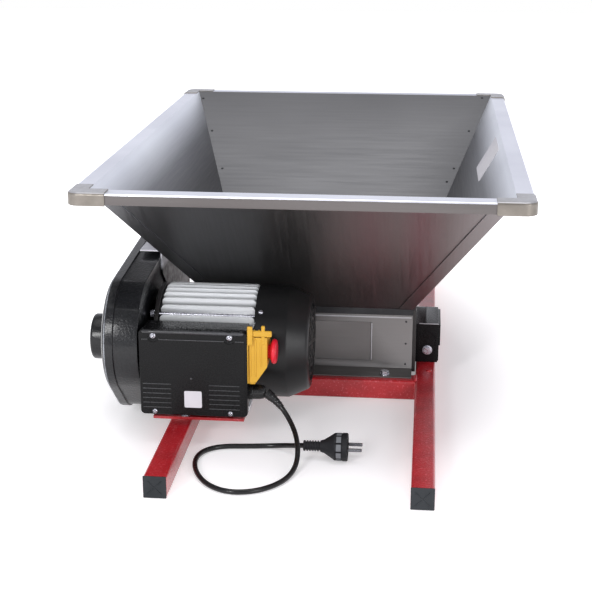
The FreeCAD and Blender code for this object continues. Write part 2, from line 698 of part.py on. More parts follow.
# ---------------------------------------------------------------- timing gear cover
def make_gear_cover():
    """A moulded cover over the timing gears, open towards the side plate and the rail."""
    low, out = number("rail_size"), number("cover_out")
    inner = number("box_half") + number("side_plate")
    wall, radius = number("cover_wall"), number("cover_round")
    rear = number(roller_y["driven"])

    def hood(shrink, right):
        front, top = number("cover_front") + shrink, number("cover_top") - shrink
        bend = radius - shrink
        centre = Vector(inner, rear, top - bend)
        turn = bend * math.sqrt(0.5)
        wire = Part.Wire([
            Part.makeLine(Vector(inner, front, low), Vector(inner, front, top)),
            Part.makeLine(Vector(inner, front, top), Vector(inner, rear, top)),
            Part.Arc(Vector(inner, rear, top), centre + Vector(0, turn, turn),
                     Vector(inner, rear + bend, top - bend)).toShape(),
            Part.makeLine(Vector(inner, rear + bend, top - bend), Vector(inner, rear + bend, low)),
            Part.makeLine(Vector(inner, rear + bend, low), Vector(inner, front, low))])
        return Part.Face(wire).extrude(Vector(right - inner, 0, 0))

    shell = hood(0, out)
    front, top = number("cover_front"), number("cover_top")
    thick, raised_high = number("cover_rib"), number("cover_raised")
    rib = Part.makeBox(thick, rear - front, thick / 2, Vector((inner + out) / 2 - 3, front, top - 0.5))
    raised = Part.makeBox(thick, rear - front - 4, raised_high,
                          Vector(out - 0.5, front + 2, top - raised_high - 1))
    strip = Part.makeBox(thick / 2, rear - front + 10, number("cover_strip"),
                         Vector(out - 0.5, front + 2, low + 2))
    shell = shell.fuse([rib, raised, strip]).removeSplitter()
    shell = shell.cut(hood(wall, out - wall))
    middle = (inner + out) / 2 + 1
    half, deep = number("cover_arch"), number("cover_arch_depth")
    arch_low, arch_high = number("cover_arch_low"), number("cover_arch_high")
    arch = Part.makeCylinder(half, deep, Vector(middle, front, arch_high), Vector(0, 1, 0))
    arch = arch.fuse(Part.makeBox(2 * half, deep, arch_high - arch_low,
                                  Vector(middle - half, front, arch_low)))
    shell = shell.cut(arch.removeSplitter())
    hole = Part.makeCylinder(number("bolt_radius") + 0.3, 20,
                             Vector(middle, front - 5, number("cover_bolt_z")), Vector(0, 1, 0))
    shaped("gear_cover", shell.cut(hole))
    return middle


cover_bolt_x = make_gear_cover()


# ---------------------------------------------------------------- belt drive
lay_ends = ("belt_middle - pulley_width / 2 - shaft_end",
            "bracket_face + bracket_sheet + bearing_width + shaft_end")
turned("layshaft", [(lay_ends[0], "0"), (lay_ends[1], "0"), (lay_ends[1], "shaft_radius"),
                    (lay_ends[0], "shaft_radius")], lay_y, lay_z)
gear("layshaft_pinion", int(number("pinion_teeth")),
     number("layshaft_angle") + 180 + 180 / number("pinion_teeth"), number("gear_left"),
     number("gear_width"), *lay_spot)
gear("roller_gear", int(number("roller_gear_teeth")), number("layshaft_angle"),
     number("gear_left"), number("gear_width"), number("roller_front"), height,
     int(number("web_holes")))
pulley("layshaft_pulley", "big_pulley", "shaft_radius", lay_y, lay_z, True)
pulley("motor_pulley", "small_pulley", "motor_shaft", "motor_y", "motor_z", False)


def tangent_points(first, second):
    """Outer tangent of two circles (y, z, radius), on the left of the way between them."""
    across, up = second[0] - first[0], second[1] - first[1]
    reach = math.hypot(across, up)
    turn = math.atan2(up, across) + math.acos((first[2] - second[2]) / reach)
    way = (math.cos(turn), math.sin(turn))
    return [(item[0] + item[2] * way[0], item[1] + item[2] * way[1]) for item in (first, second)]


def band_outline(circles, x):
    """A wire at one x: the tight band round circles listed clockwise seen from +X."""
    count = len(circles)
    pairs = [tangent_points(circles[k], circles[(k + 1) % count]) for k in range(count)]
    edges = []
    for place in range(count):
        start, end = pairs[place]
        edges.append(Part.makeLine(Vector(x, *start), Vector(x, *end)))
        y, z, radius = circles[(place + 1) % count]
        leave = pairs[(place + 1) % count][0]
        middle = ((end[0] + leave[0]) / 2 - y, (end[1] + leave[1]) / 2 - z)
        turn_in = math.atan2(end[1] - z, end[0] - y)
        turn_out = math.atan2(leave[1] - z, leave[0] - y)
        while turn_out > turn_in:
            turn_out -= 2 * math.pi
        half = (turn_in + turn_out) / 2
        edges.append(Part.Arc(Vector(x, *end),
                              Vector(x, y + radius * math.cos(half), z + radius * math.sin(half)),
                              Vector(x, *leave)).toShape())
    return Part.Wire(edges)


def grown(circles, amount):
    return [(y, z, radius + amount) for y, z, radius in circles]


motor_spot = (number("motor_y"), number("motor_z"))
belt_run = [motor_spot + (number("small_pulley") - 1,), lay_spot + (number("big_pulley") - 1,)]
belt_left = number("belt_middle") - number("belt_width") / 2
belt_skin = Part.Face(band_outline(belt_run, belt_left))
belt_hole = Part.Face(band_outline(grown(belt_run, number("groove_play") - number("belt_thick")),
                                   belt_left))
shaped("drive_belt", belt_skin.cut(belt_hole).extrude(Vector(number("belt_width"), 0, 0)))


# ---------------------------------------------------------------- casing of the drive
gear_tip = (number("roller_gear_teeth") / 2 + 1) * number("tooth_module")
casing_line = [
    (motor_spot[0] - number("casing_nose_shift"), motor_spot[1] + number("casing_nose_lift"),
     number("casing_nose_radius")),
    lay_spot + (number("big_pulley") + number("casing_play"),),
    (number("roller_front"), height, gear_tip + number("casing_gear_play")),
    (motor_spot[0], motor_spot[1] - number("casing_sump_drop"), number("casing_sump_radius"))]


def prism(circles, left, right):
    return Part.Face(band_outline(circles, left)).extrude(Vector(right - left, 0, 0))


def make_casing():
    """Two moulded halves that close on each other round the belt and the gear."""
    wall, back, parting = number("casing_wall"), number("casing_back"), number("casing_parting")
    lip, lip_wide, out = number("casing_lip"), number("casing_lip_width"), number("casing_out")
    inner = prism(casing_line, parting, back).fuse(
        prism(grown(casing_line, lip), parting, parting + lip_wide))
    inner = inner.cut(prism(grown(casing_line, -wall), parting - 1, back - wall))
    room = number("shaft_radius") + number("bracket_hole_play")
    for y, z, radius in (motor_spot + (room + 4,), lay_spot + (room,),
                         (number("roller_front"), height, room + 1)):
        inner = inner.cut(Part.makeCylinder(radius, 3 * wall, Vector(back - 2 * wall, y, z),
                                            Vector(1, 0, 0)))
    shaped("casing_inner", inner.removeSplitter())

    def dome(shrink, shift):
        depth = parting - out
        rings = [(0, 0), (0.45, 3), (0.8, 10), (1, 22)]
        return Part.makeLoft([
            band_outline(grown(casing_line, -shrink - inset), parting - part * depth + shift)
            for part, inset in rings], True, True)

    boss_y, boss_z = number("motor_y"), number("boss_height")
    radius, step, boss_out = number("boss_radius"), number("boss_step"), number("boss_out")
    reach = number("boss_step_reach")
    outer = dome(0, 0).fuse([
        prism(grown(casing_line, lip), parting - lip_wide, parting),
        Part.makeCylinder(step, 2 * reach, Vector(out - reach, boss_y, boss_z), Vector(1, 0, 0)),
        Part.makeCylinder(radius, out - boss_out + 2, Vector(boss_out, boss_y, boss_z),
                          Vector(1, 0, 0))])
    edge = [e for e in outer.Edges if abs(e.BoundBox.XMin - boss_out) < 0.1
            and e.BoundBox.XLength < 0.1]
    outer = outer.makeFillet(number("boss_round"), edge)
    outer = outer.cut([
        dome(wall, wall).fuse(prism(grown(casing_line, -wall), parting - 0.1, parting + 1)),
        Part.makeCylinder(radius - wall, out - boss_out + 4,
                          Vector(boss_out + wall, boss_y, boss_z), Vector(1, 0, 0))])
    shaped("casing_outer", outer)


make_casing()


def make_bracket():
    """A bent zinc-plated plate that carries the layshaft and the casing."""
    owner = body("drive_bracket")
    page = sketch(owner, "YZ_Plane", "bracket_face")
    outline(page, [("bracket_front", "rail_size"), ("bracket_rear", "rail_size"),
                   ("bracket_rear", "bracket_shoulder"), ("bracket_shelf_rear", "bracket_top"),
                   ("bracket_shelf_front", "bracket_top"), ("bracket_shelf_front", "bracket_knee"),
                   ("bracket_front", "bracket_shoulder")])
    circle(page, "roller_front", "roller_height", "shaft_radius + bracket_hole_play")
    circle(page, lay_y, lay_z, "shaft_radius + bracket_hole_play")
    pad(owner, page, "bracket_sheet")
    foot = sketch(owner, "YZ_Plane", "bracket_face")
    rectangle(foot, "bracket_front + bracket_foot_inset", "bracket_rear - bracket_foot_inset",
              "rail_size", "rail_size + bracket_sheet")
    pad(owner, foot, "-bracket_face - rail_offset + rail_size / 2 - bracket_sheet")
    top = sketch(owner, "YZ_Plane", "bracket_face + bracket_sheet")
    rectangle(top, "bracket_shelf_front", "bracket_shelf_rear",
              "bracket_top - bracket_sheet + 0.5", "bracket_top")
    pad(owner, top, "bracket_shelf", True)
    return owner


make_bracket()


# ---------------------------------------------------------------- motor
def make_motor_housing():
    """Cast shell with upright fins above, level fins behind, and feet."""
    left, right = number("motor_left"), number("motor_right")
    y, z = motor_spot
    shell_r, bore, tip = number("motor_shell"), number("motor_bore"), number("fin_radius")
    shell = Part.makeCylinder(shell_r, right - left, Vector(left, y, z), Vector(1, 0, 0))
    parts = []
    thick, pitch, inset = number("fin_thick"), number("fin_pitch"), number("fin_inset")

    def fin(away):
        """A plate with rounded outer corners, upright over the axis and then moved along Y."""
        root = math.sqrt(shell_r ** 2 - (abs(away) + thick / 2) ** 2) - 3 if abs(away) < 60 else 0
        top = math.sqrt(tip ** 2 - (abs(away) + thick / 2) ** 2)
        plate = Part.makeBox(right - left - 2 * inset, thick, top - root,
                             Vector(left + inset, away - thick / 2, root))
        return plate.makeFillet(number("fin_round"), [
            e for e in plate.Edges if e.BoundBox.ZMin > top - 0.1 and e.BoundBox.XLength < 0.1])

    for turn, count in ((0, int(number("fins_above"))), (-90, int(number("fins_behind")))):
        for place in range(count):
            plate = fin((place - (count - 1) / 2) * pitch)
            plate.rotate(Vector(0, 0, 0), Vector(1, 0, 0), turn)
            plate.translate(Vector(0, y, z))
            parts.append(plate)
    middle = (left + right) / 2
    plate = number("rail_size") + number("base_plate")
    for way_x in (-1, 1):
        for way_y in (-1, 1):
            wide, long = number("foot_width"), number("foot_length")
            hole_x = middle + way_x * number("feet_x") / 2
            hole_y = y + way_y * number("feet_y") / 2
            leg_thick, shift = number("leg_thick"), number("leg_shift")
            leg = Part.makeBox(long, leg_thick, z - plate - 20,
                               Vector(hole_x - long / 2, hole_y - way_y * shift - leg_thick / 2,
                                      plate))
            foot = Part.makeBox(long, wide, number("foot_pad"),
                                Vector(hole_x - long / 2, hole_y - wide / 2, plate))
            hole = Part.makeCylinder(number("bolt_radius") + 0.5, 20, Vector(hole_x, hole_y, plate - 5))
            parts.append(leg.fuse(foot).cut(hole))
    shell = shell.fuse(parts).cut(Part.makeCylinder(bore, right - left + 2,
                                                    Vector(left - 1, y, z), Vector(1, 0, 0)))
    shaped("motor_housing", shell.removeSplitter())


make_motor_housing()
turned("motor_stator", [("motor_left + 15", "stator_bore"), ("motor_right - 17", "stator_bore"),
                        ("motor_right - 17", "motor_bore"), ("motor_left + 15", "motor_bore")],
       "motor_y", "motor_z")
turned("motor_rotor", [("belt_middle - pulley_width / 2 - 3", "0"), ("rotor_end", "0"),
                       ("rotor_end", "motor_shaft"), ("motor_right - 17", "motor_shaft"),
                       ("motor_right - 17", "rotor_radius"), ("motor_left + 15", "rotor_radius"),
                       ("motor_left + 15", "motor_shaft"),
                       ("belt_middle - pulley_width / 2 - 3", "motor_shaft")],
       "motor_y", "motor_z")
turned("motor_shield_left", [("motor_left", "motor_bore"), ("motor_left", "fin_radius"),
                             ("motor_left - shield_rim", "fin_radius"),
                             ("motor_left - shield_rim", "66"),
                             ("motor_left - 12", "55"), ("shield_out", "34"),
                             ("shield_out", "motor_shaft + 2"),
                             ("shield_out + 2", "motor_shaft + 2"),
                             ("shield_out + 2", "motor_bearing"),
                             ("motor_left - 2", "motor_bearing"), ("motor_left - 2", "motor_bore")],
       "motor_y", "motor_z")
shield_edge = "fin_radius - fan_cover_sheet - shield_play"
turned("motor_shield_right", [("motor_right", "motor_bearing"),
                              ("motor_right + shield_width", "motor_bearing"),
                              ("motor_right + shield_width", shield_edge),
                              ("motor_right", shield_edge)], "motor_y", "motor_z")


def ring(name, left, right, y, z, outer, bore):
    return cut(name, rod(name + "_disc", left, right, y, z, outer),
               rod(name + "_bore", "(%s) - 1" % left, "(%s) + 1" % right, y, z, bore))


group("shaft_bearings", [
    ring("bearing_motor_left", "shield_out + 2", "motor_left - 2", "motor_y", "motor_z",
         "motor_bearing", "motor_shaft + running_gap"),
    ring("bearing_motor_right", "motor_right", "motor_right + shield_width", "motor_y", "motor_z",
         "motor_bearing", "motor_shaft + running_gap"),
    ring("bearing_layshaft", "bracket_face + bracket_sheet",
         "bracket_face + bracket_sheet + bearing_width", lay_y, lay_z, "bearing_radius",
         "shaft_radius + running_gap")])


def make_fan():
    y, z = motor_spot
    disc_x, tip, hub = number("fan_left"), number("fan_radius"), number("fan_hub")
    blank = Part.makeCylinder(tip, number("fan_disc"), Vector(disc_x, y, z), Vector(1, 0, 0))
    parts = [Part.makeCylinder(hub, number("fan_hub_width"), Vector(disc_x, y, z), Vector(1, 0, 0))]
    thick = number("fan_blade")
    for place in range(int(number("fan_blades"))):
        blade = Part.makeBox(number("fan_blade_width"), tip - hub + 1, thick,
                             Vector(disc_x, hub - 2, -thick / 2))
        blade.rotate(Vector(0, 0, 0), Vector(1, 0, 0), 360 * place / number("fan_blades"))
        blade.translate(Vector(0, y, z))
        parts.append(blade)
    bore = Part.makeCylinder(number("motor_shaft"), number("fan_hub_width") + 2,
                             Vector(disc_x - 1, y, z), Vector(1, 0, 0))
    shaped("motor_fan", blank.fuse(parts).cut(bore).removeSplitter())


def make_fan_cover():
    """A deep-drawn hood with ring slots in its end."""
    sheet_thick, nose = number("fan_cover_sheet"), number("fan_cover_nose")
    start, end = number("motor_right") - 2, number("fan_cover_end")
    shoulder, y, z = number("fan_cover_shoulder"), *motor_spot

    def hood(shrink, tail):
        wide = number("fin_radius") - shrink
        profile = [(start - tail, 0), (start - tail, wide), (shoulder, wide),
                   (end - shrink, nose - shrink), (end - shrink, 0)]
        spots = [Vector(x, radius, 0) for x, radius in profile]
        solid = Part.Face(Part.makePolygon(spots + spots[:1])).revolve(
            Vector(0, 0, 0), Vector(1, 0, 0), 360)
        bends = [e for e in solid.Edges if e.BoundBox.XLength < 0.1 and e.BoundBox.XMin > shoulder - 1]
        solid = solid.makeFillet(number("fan_cover_round") - shrink, bends)
        solid.translate(Vector(0, y, z))
        return solid

    cover = hood(0, 0).cut(hood(sheet_thick, 1))
    slots, bars = [], []
    step, bar_wide = number("fan_slot_step"), number("fan_slot_bar")
    for place in range(1, int(number("fan_slots")) + 1):
        slot = Part.makeCylinder(place * step + number("fan_slot"), 6, Vector(end - 4, y, z),
                                 Vector(1, 0, 0))
        slots.append(slot.cut(Part.makeCylinder(place * step, 6, Vector(end - 4, y, z),
                                                Vector(1, 0, 0))))
    count = int(number("fan_slot_bars"))
    for place in range(count):
        bar = Part.makeBox(8, 2 * nose, bar_wide, Vector(end - 5, -nose, -bar_wide / 2))
        bar.rotate(Vector(0, 0, 0), Vector(1, 0, 0), 180 * (place + 0.5) / count)
        bar.translate(Vector(0, y, z))
        bars.append(bar)
    for slot in slots:
        cover = cover.cut(slot.cut(bars))
    shaped("fan_cover", cover)


make_fan()
make_fan_cover()


def make_tie_rods():
    """Four rods that clamp the end shields on the shell, each with a nut."""
    pieces = []
    reach = number("tie_circle")
    left, right, y, z = number("motor_left"), number("motor_right"), *motor_spot
    for turn in (45, 135, 215, 325):
        across = y + reach * math.cos(math.radians(turn))
        up = z + reach * math.sin(math.radians(turn))
        pieces.append(Part.makeCylinder(number("tie_rod"), right - left, Vector(left, across, up),
                                        Vector(1, 0, 0)))
        pieces.append(Part.makeCylinder(
            number("tie_nut"), number("tie_nut_width"),
            Vector(left - number("shield_rim") - number("tie_nut_width"), across, up),
            Vector(1, 0, 0)))
    shaped("tie_rods", Part.makeCompound(pieces))


make_tie_rods()


def make_base_plate():
    """A painted plate on the left rail and the front crossbar that carries the motor."""
    owner = body("motor_base_plate")
    page = sketch(owner, "XY_Plane", "rail_size")
    rectangle(page, "base_left", "base_right", "base_front", "base_rear")
    middle = "(motor_left + motor_right) / 2"
    for way_x in ("-", "+"):
        for way_y in ("-", "+"):
            circle(page, "%s %s feet_x / 2" % (middle, way_x), "motor_y %s feet_y / 2" % way_y,
                   "bolt_radius + 0.3")
    pad(owner, page, "base_plate")


make_base_plate()


# ---------------------------------------------------------------- junction box
def make_junction_box():
    left, right = number("jbox_left"), number("jbox_right")
    front, back, low = number("jbox_front"), number("jbox_back"), number("jbox_low")
    top, lid_top, wall = number("jbox_top"), number("jbox_lid_top"), number("jbox_wall")
    inset, depth, seal = number("jbox_inset"), number("lid_depth"), number("gasket")
    joint = front + depth
    mouth = joint + seal

    def block(x0, x1, y0, y1, z0, z1):
        return Part.makeBox(x1 - x0, y1 - y0, z1 - z0, Vector(x0, y0, z0))

    base = block(left + inset, right, mouth, back, low + inset, top)
    edges = [e for e in base.Edges if e.BoundBox.YLength > 1]
    base = base.makeFillet(number("lid_round"), edges)
    hollow = block(left + inset + wall, right - wall, mouth - 1, back - 10,
                   low + inset + wall, lid_top - inset - wall)
    motor = Part.makeCylinder(number("fin_radius") + 0.5, 200,
                              Vector(left - 10, *motor_spot), Vector(1, 0, 0))
    feet = block(left - 1, right + 1, back - 3, back + 1, low - 1, low + 14)
    shaped("junction_box_body", base.cut([hollow, motor, feet]))

    lid = block(left, right, front, joint, low, lid_top)
    lid = lid.makeFillet(number("lid_round"), [e for e in lid.Edges if e.BoundBox.YLength > 1])
    rim = [e for e in lid.Edges if e.BoundBox.YMax < front + 0.1]
    lid = lid.makeChamfer(1.5, rim)
    lid = lid.cut(block(left + wall, right - wall, front + wall, joint + 1, low + wall,
                        lid_top - wall - 8))
    screws, shift = [], number("screw_inset")
    for x in (left + shift, right - shift):
        recess = Part.makeCylinder(8, 4, Vector(x, front, lid_top - 8), Vector(0, 1, 0))
        lid = lid.cut(recess)
        screws.append(Part.makeCylinder(number("screw_radius"), 3, Vector(x, front + 1, lid_top - 8),
                                        Vector(0, 1, 0)))
        screws.append(Part.makeCylinder(number("screw_radius"), 2.5,
                                        Vector(x, front - 2.5, low + 6), Vector(0, 1, 0)))
    shaped("junction_box_lid", lid)
    shaped("lid_screws", Part.makeCompound(screws))
    seal_ring = block(left + inset + 1, right - inset - 1, joint, mouth, low + inset + 1, lid_top - 1)
    seal_ring = seal_ring.cut(block(left + inset + wall + 1, right - inset - wall - 1, joint - 1,
                                    mouth + 1, low + inset + wall + 1, lid_top - inset - wall - 1))
    shaped("junction_box_gasket", seal_ring)
    shaped("run_capacitor", Part.makeCylinder(
        15, 90, Vector(left + 25, (mouth + back - 10) / 2, low + 24), Vector(1, 0, 0)))
    terminal = block(left + 30, left + 100, back - 10 - 16, back - 10, 112, 130)
    shaped("terminal_block", terminal)


make_junction_box()


# ---------------------------------------------------------------- emergency switch
def make_switch():
    """Plate and module on the box, and a hinged lid with the emergency stop on it."""
    near, far = "(switch_y - switch_width / 2)", "(switch_y + switch_width / 2)"
    plate = box("switch_plate_slab", "jbox_right", "jbox_right + switch_plate", near, far,
                "switch_low", "switch_high")
    ears = []
    for name, front in (("near", near), ("far", far + " - 2")):
        ear = box("switch_ear_" + name, "jbox_right + switch_plate - 1", "hinge_x + 3.5", front,
                  front + " + 2", "hinge_z - 3.5", "hinge_z + 3")
        ears.append(ear)
    pin_hole = doc.addObject("Part::Cylinder", "switch_ear_hole")
    pin_hole.setExpression("Radius", cells("hinge_pin"))
    pin_hole.setExpression("Height", cells("switch_width + 2"))
    pin_hole.Placement.Rotation = Rotation(Vector(1, 0, 0), -90)
    pin_hole.setExpression("Placement.Base.x", cells("hinge_x"))
    pin_hole.setExpression("Placement.Base.y", cells(near + " - 1"))
    pin_hole.setExpression("Placement.Base.z", cells("hinge_z"))
    keep(cut("switch_base", fuse("switch_base_blank", [plate] + ears), pin_hole), "switch_base")
    pin = doc.addObject("Part::Cylinder", "switch_hinge_pin")
    pin.setExpression("Radius", cells("hinge_pin"))
    pin.setExpression("Height", cells("switch_width"))
    pin.Placement.Rotation = Rotation(Vector(1, 0, 0), -90)
    pin.setExpression("Placement.Base.x", cells("hinge_x"))
    pin.setExpression("Placement.Base.y", cells(near))
    pin.setExpression("Placement.Base.z", cells("hinge_z"))
    keep(pin, "switch_hinge_pin")

    face = "jbox_right + switch_plate"
    module = box("module_block", face, face + " + module_depth", "switch_y - module_width / 2",
                 "switch_y + module_width / 2", "module_low", "module_high")
    bores = [rod("module_bore_" + name, "button_tail - 4", "flap_out", "switch_y", spot,
                 "button_radius + running_gap") for name, spot in (("stop", "stop_z"),
                                                                   ("start", "start_z"))]
    keep(cut("switch_module", module, fuse("module_bores", bores)), "switch_module")
    for name in ("stop", "start"):
        keep(rod(name + "_button", "button_tail", "button_face", "switch_y", name + "_z",
                 "button_radius"), name + "_button")

    turned("stop_mushroom", [
        ("stem_end", "0"), ("mushroom_out", "0"), ("mushroom_out + 0.2 - 1", "mushroom_radius - 6"),
        ("mushroom_out - 3", "mushroom_radius - 1"), ("mushroom_out - 5", "mushroom_radius"),
        ("mushroom_back", "mushroom_radius - 2"), ("mushroom_back", "mushroom_stem"),
        ("stem_end", "mushroom_stem")], "switch_y", "stop_z")

    wall, play = number("flap_wall"), 0.7
    width = number("switch_width") - 4 - 2 * 0.4
    y0 = number("switch_y") - width / 2
    rear = number("jbox_right") + number("switch_plate") + play
    out, nose = number("flap_out"), number("flap_nose")
    low, high = number("flap_low"), number("flap_high")
    hinge_x, hinge_z = number("hinge_x"), number("hinge_z")

    def shell(shrink, back):
        corners = [(back, low + shrink), (nose - shrink, low + shrink),
                   (out - shrink, low + 26), (out - shrink, high - shrink), (back, high - shrink)]
        spots = [Vector(x, y0 + shrink, z) for x, z in corners]
        return Part.Face(Part.makePolygon(spots + spots[:1])).extrude(Vector(0, width - 2 * shrink, 0))

    flap = shell(0, rear).cut(shell(wall, rear - 1))
    barrel = Part.makeCylinder(number("hinge_barrel"), width, Vector(hinge_x, y0, hinge_z),
                               Vector(0, 1, 0))
    web = Part.makeBox(3.2, width, hinge_z - high + 2.5, Vector(hinge_x + 0.3, y0, high - 2))
    bore = Part.makeCylinder(number("hinge_pin") + number("running_gap"), width + 2,
                             Vector(hinge_x, y0 - 1, hinge_z), Vector(0, 1, 0))
    stem = Part.makeCylinder(number("mushroom_stem") + number("running_gap"), 10,
                             Vector(out - 6, number("switch_y"), number("stop_z")), Vector(1, 0, 0))
    shaped("switch_flap", flap.fuse([barrel, web]).cut([bore, stem]).removeSplitter())


make_switch()


# ---------------------------------------------------------------- cable
cord_path = [
    (-49, -395, 73), (-35, -397.5, 63), (-20, -406, 47), (-6, -430, 33), (1, -458, 23),
    (2, -481, 9.5), (-4, -508, 3.5), (-18, -537, 3.5), (-44, -560, 3.5), (-78, -566, 3.5),
    (-108, -547, 3.5), (-128, -512, 3.5), (-137, -474, 3.5), (-132, -443, 3.5),
    (-110, -424, 3.5), (-70, -420, 3.5), (-42, -416, 3.5), (-22, -422, 7.5), (-6, -437, 14.5),
    (8, -445, 19)]


def make_cord():
    """The mains lead: straight runs joined by tangent arcs, as large as the runs allow."""
    spots = [Vector(*spot) for spot in cord_path]
    edges, length, here = [], 0.0, spots[0]
    smallest = 1e9
    for before, corner, after in zip(spots, spots[1:], spots[2:]):
        come, leave = (corner - before), (after - corner)
        turn = come.getAngle(leave)
        reach = 0.45 * min(come.Length, leave.Length)
        radius = reach / math.tan(turn / 2)
        smallest = min(smallest, radius)
        start = corner - come.normalize() * reach
        end = corner + leave.normalize() * reach
        inward = (start + end) * 0.5 - corner
        rise = radius / math.cos(turn / 2) - radius
        middle = corner + inward.normalize() * rise
        edges.append(Part.LineSegment(here, start).toShape())
        edges.append(Part.Arc(start, middle, end).toShape())
        length += (start - here).Length + radius * turn
        here = end
    edges.append(Part.LineSegment(here, spots[-1]).toShape())
    length += (spots[-1] - here).Length
    path = Part.Wire(edges)
    way = (spots[1] - spots[0]).normalize()
    section = Part.Wire(Part.makeCircle(number("cord_radius"), spots[0], way))
    tube = path.makePipeShell([section], True, True)
    exact = math.pi * number("cord_radius") ** 2 * length
    print("cord length %.1f, smallest bend %.1f, volume ratio %.4f"
          % (length, smallest, tube.Volume / exact))
    shaped("mains_cord", tube)


make_cord()
turned("cable_gland", [("jbox_right", "0"), ("gland_end", "0"), ("gland_end", "5"),
                       ("gland_end - 3", "8"), ("gland_end - 16", "gland_radius - 1"),
                       ("gland_end - 16", "gland_radius + 1.5"),
                       ("gland_end - 24", "gland_radius + 1.5"),
                       ("gland_end - 24", "gland_radius"), ("jbox_right", "gland_radius")],
       "gland_y", "gland_z")
turned("plug_body", [("plug_start", "0"), ("plug_end", "0"), ("plug_end", "plug_radius - 1"),
                     ("plug_end - 1", "plug_radius"), ("plug_end - 20", "plug_radius"),
                     ("plug_end - 26", "plug_radius - 4"), ("plug_end - 36", "9"),
                     ("plug_start", "7")], "plug_y", "plug_z")
group("plug_pins", [rod("plug_pin_" + name, "plug_end", "plug_end + pin_length",
                        "plug_y %s pin_spacing / 2" % way, "plug_z", "pin_radius")
                    for name, way in (("near", "-"), ("far", "+"))])


# ---------------------------------------------------------------- fasteners
def bolt_head(x, y, seat):
    """The hexagon head of a bolt that stands on a piece."""
    corners = [Vector(x + number("bolt_head") * math.cos(k * math.pi / 3),
                      y + number("bolt_head") * math.sin(k * math.pi / 3), seat)
               for k in range(7)]
    return Part.Face(Part.makePolygon(corners)).extrude(Vector(0, 0, number("bolt_head_height")))


def make_frame_bolts():
    """Bolts of the motor feet, box feet, base plate, bracket and gear cover."""
    middle = (number("motor_left") + number("motor_right")) / 2
    rail = number("rail_size")
    plate = rail + number("base_plate")
    bolts = [bolt_head(middle + way_x * number("feet_x") / 2,
                       number("motor_y") + way_y * number("feet_y") / 2,
                       plate + number("foot_pad")) for way_x in (-1, 1) for way_y in (-1, 1)]
    reach = number("foot_bolt_reach")
    for x in (-number("foot_bolt_x"), number("foot_bolt_x")):
        for y in (number("box_front") - reach, number("box_rear") + reach):
            bolts.append(bolt_head(x, y, rail + number("box_foot")))
    bolts.append(bolt_head(number("base_bolt_x"), number("base_front") + number("base_bolt_inset"),
                           plate))
    for y in (number("bracket_front") + number("bracket_bolt_inset"),
              number("bracket_rear") - number("bracket_bolt_inset")):
        bolts.append(bolt_head(-number("rail_offset"), y, rail + number("bracket_sheet")))
    cover = bolt_head(0, 0, 0)
    cover.rotate(Vector(0, 0, 0), Vector(1, 0, 0), 90)
    cover.translate(Vector(cover_bolt_x, number("cover_front"), number("cover_bolt_z")))
    bolts.append(cover)
    shaped("frame_bolts", Part.makeCompound(bolts))


make_frame_bolts()

# ---------------------------------------------------------------- check and write
doc.recompute()
faults = [item.Label for item in doc.Objects
          if "Invalid" in item.State or "Error" in item.State]
faults += [piece.Label for piece in made
           if piece.Shape.isNull() or not piece.Shape.isValid() or not piece.Shape.Solids]
if faults:
    raise RuntimeError("failed pieces: " + ", ".join(faults))
os.makedirs("parts", exist_ok=True)
for piece in made:
    piece.Shape.exportStep("parts/%s.step" % piece.Label)
print(len(made), "pieces")
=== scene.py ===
import json
import math

import bmesh
import bpy
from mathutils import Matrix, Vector
from mathutils.bvhtree import BVHTree


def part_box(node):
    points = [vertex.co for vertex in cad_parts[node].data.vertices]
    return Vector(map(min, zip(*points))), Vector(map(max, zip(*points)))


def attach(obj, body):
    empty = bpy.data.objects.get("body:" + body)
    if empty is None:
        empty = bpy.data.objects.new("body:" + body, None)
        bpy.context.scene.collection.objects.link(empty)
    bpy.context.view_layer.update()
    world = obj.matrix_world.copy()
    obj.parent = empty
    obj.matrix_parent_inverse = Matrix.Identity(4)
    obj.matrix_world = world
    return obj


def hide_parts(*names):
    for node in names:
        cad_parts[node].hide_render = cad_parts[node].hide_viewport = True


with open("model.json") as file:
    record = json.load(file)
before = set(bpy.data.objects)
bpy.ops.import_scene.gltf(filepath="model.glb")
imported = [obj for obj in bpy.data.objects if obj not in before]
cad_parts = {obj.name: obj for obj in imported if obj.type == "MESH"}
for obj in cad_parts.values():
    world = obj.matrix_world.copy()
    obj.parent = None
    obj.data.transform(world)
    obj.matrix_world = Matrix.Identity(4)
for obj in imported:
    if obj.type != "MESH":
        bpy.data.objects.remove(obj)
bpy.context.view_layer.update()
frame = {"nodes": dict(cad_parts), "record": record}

nodes = frame["nodes"]
bodies = frame["record"]["behaviour"]["bodies"]
bodyOf = {member: body for body, members in bodies.items() for member in members}
mm = 0.001

# camera a little above the rim, looking slightly down
view = {"place": (0.1603, -2.0756, 0.7410), "turn": 5.72, "down": 17.35, "lens": 80.45}


def addObject(name, data):
    piece = bpy.data.objects.new(name, data)
    bpy.context.collection.objects.link(piece)
    return piece


camera = addObject("camera", bpy.data.cameras.new("camera"))
camera.location = view["place"]
camera.rotation_euler = (math.radians(90 - view["down"]), 0, math.radians(view["turn"]))
camera.data.lens = view["lens"]
camera.data.sensor_width = 36
camera.data.clip_end = 50
bpy.context.scene.camera = camera
bpy.context.scene.view_settings.view_transform = "Standard"
print("camera set")


def tone(red, green, blue):  # screen colour 0 to 255 as the shader's linear colour
    def channel(value):
        value /= 255
        return value / 12.92 if value <= 0.04045 else ((value + 0.055) / 1.055) ** 2.4
    return (*map(channel, (red, green, blue)), 1)


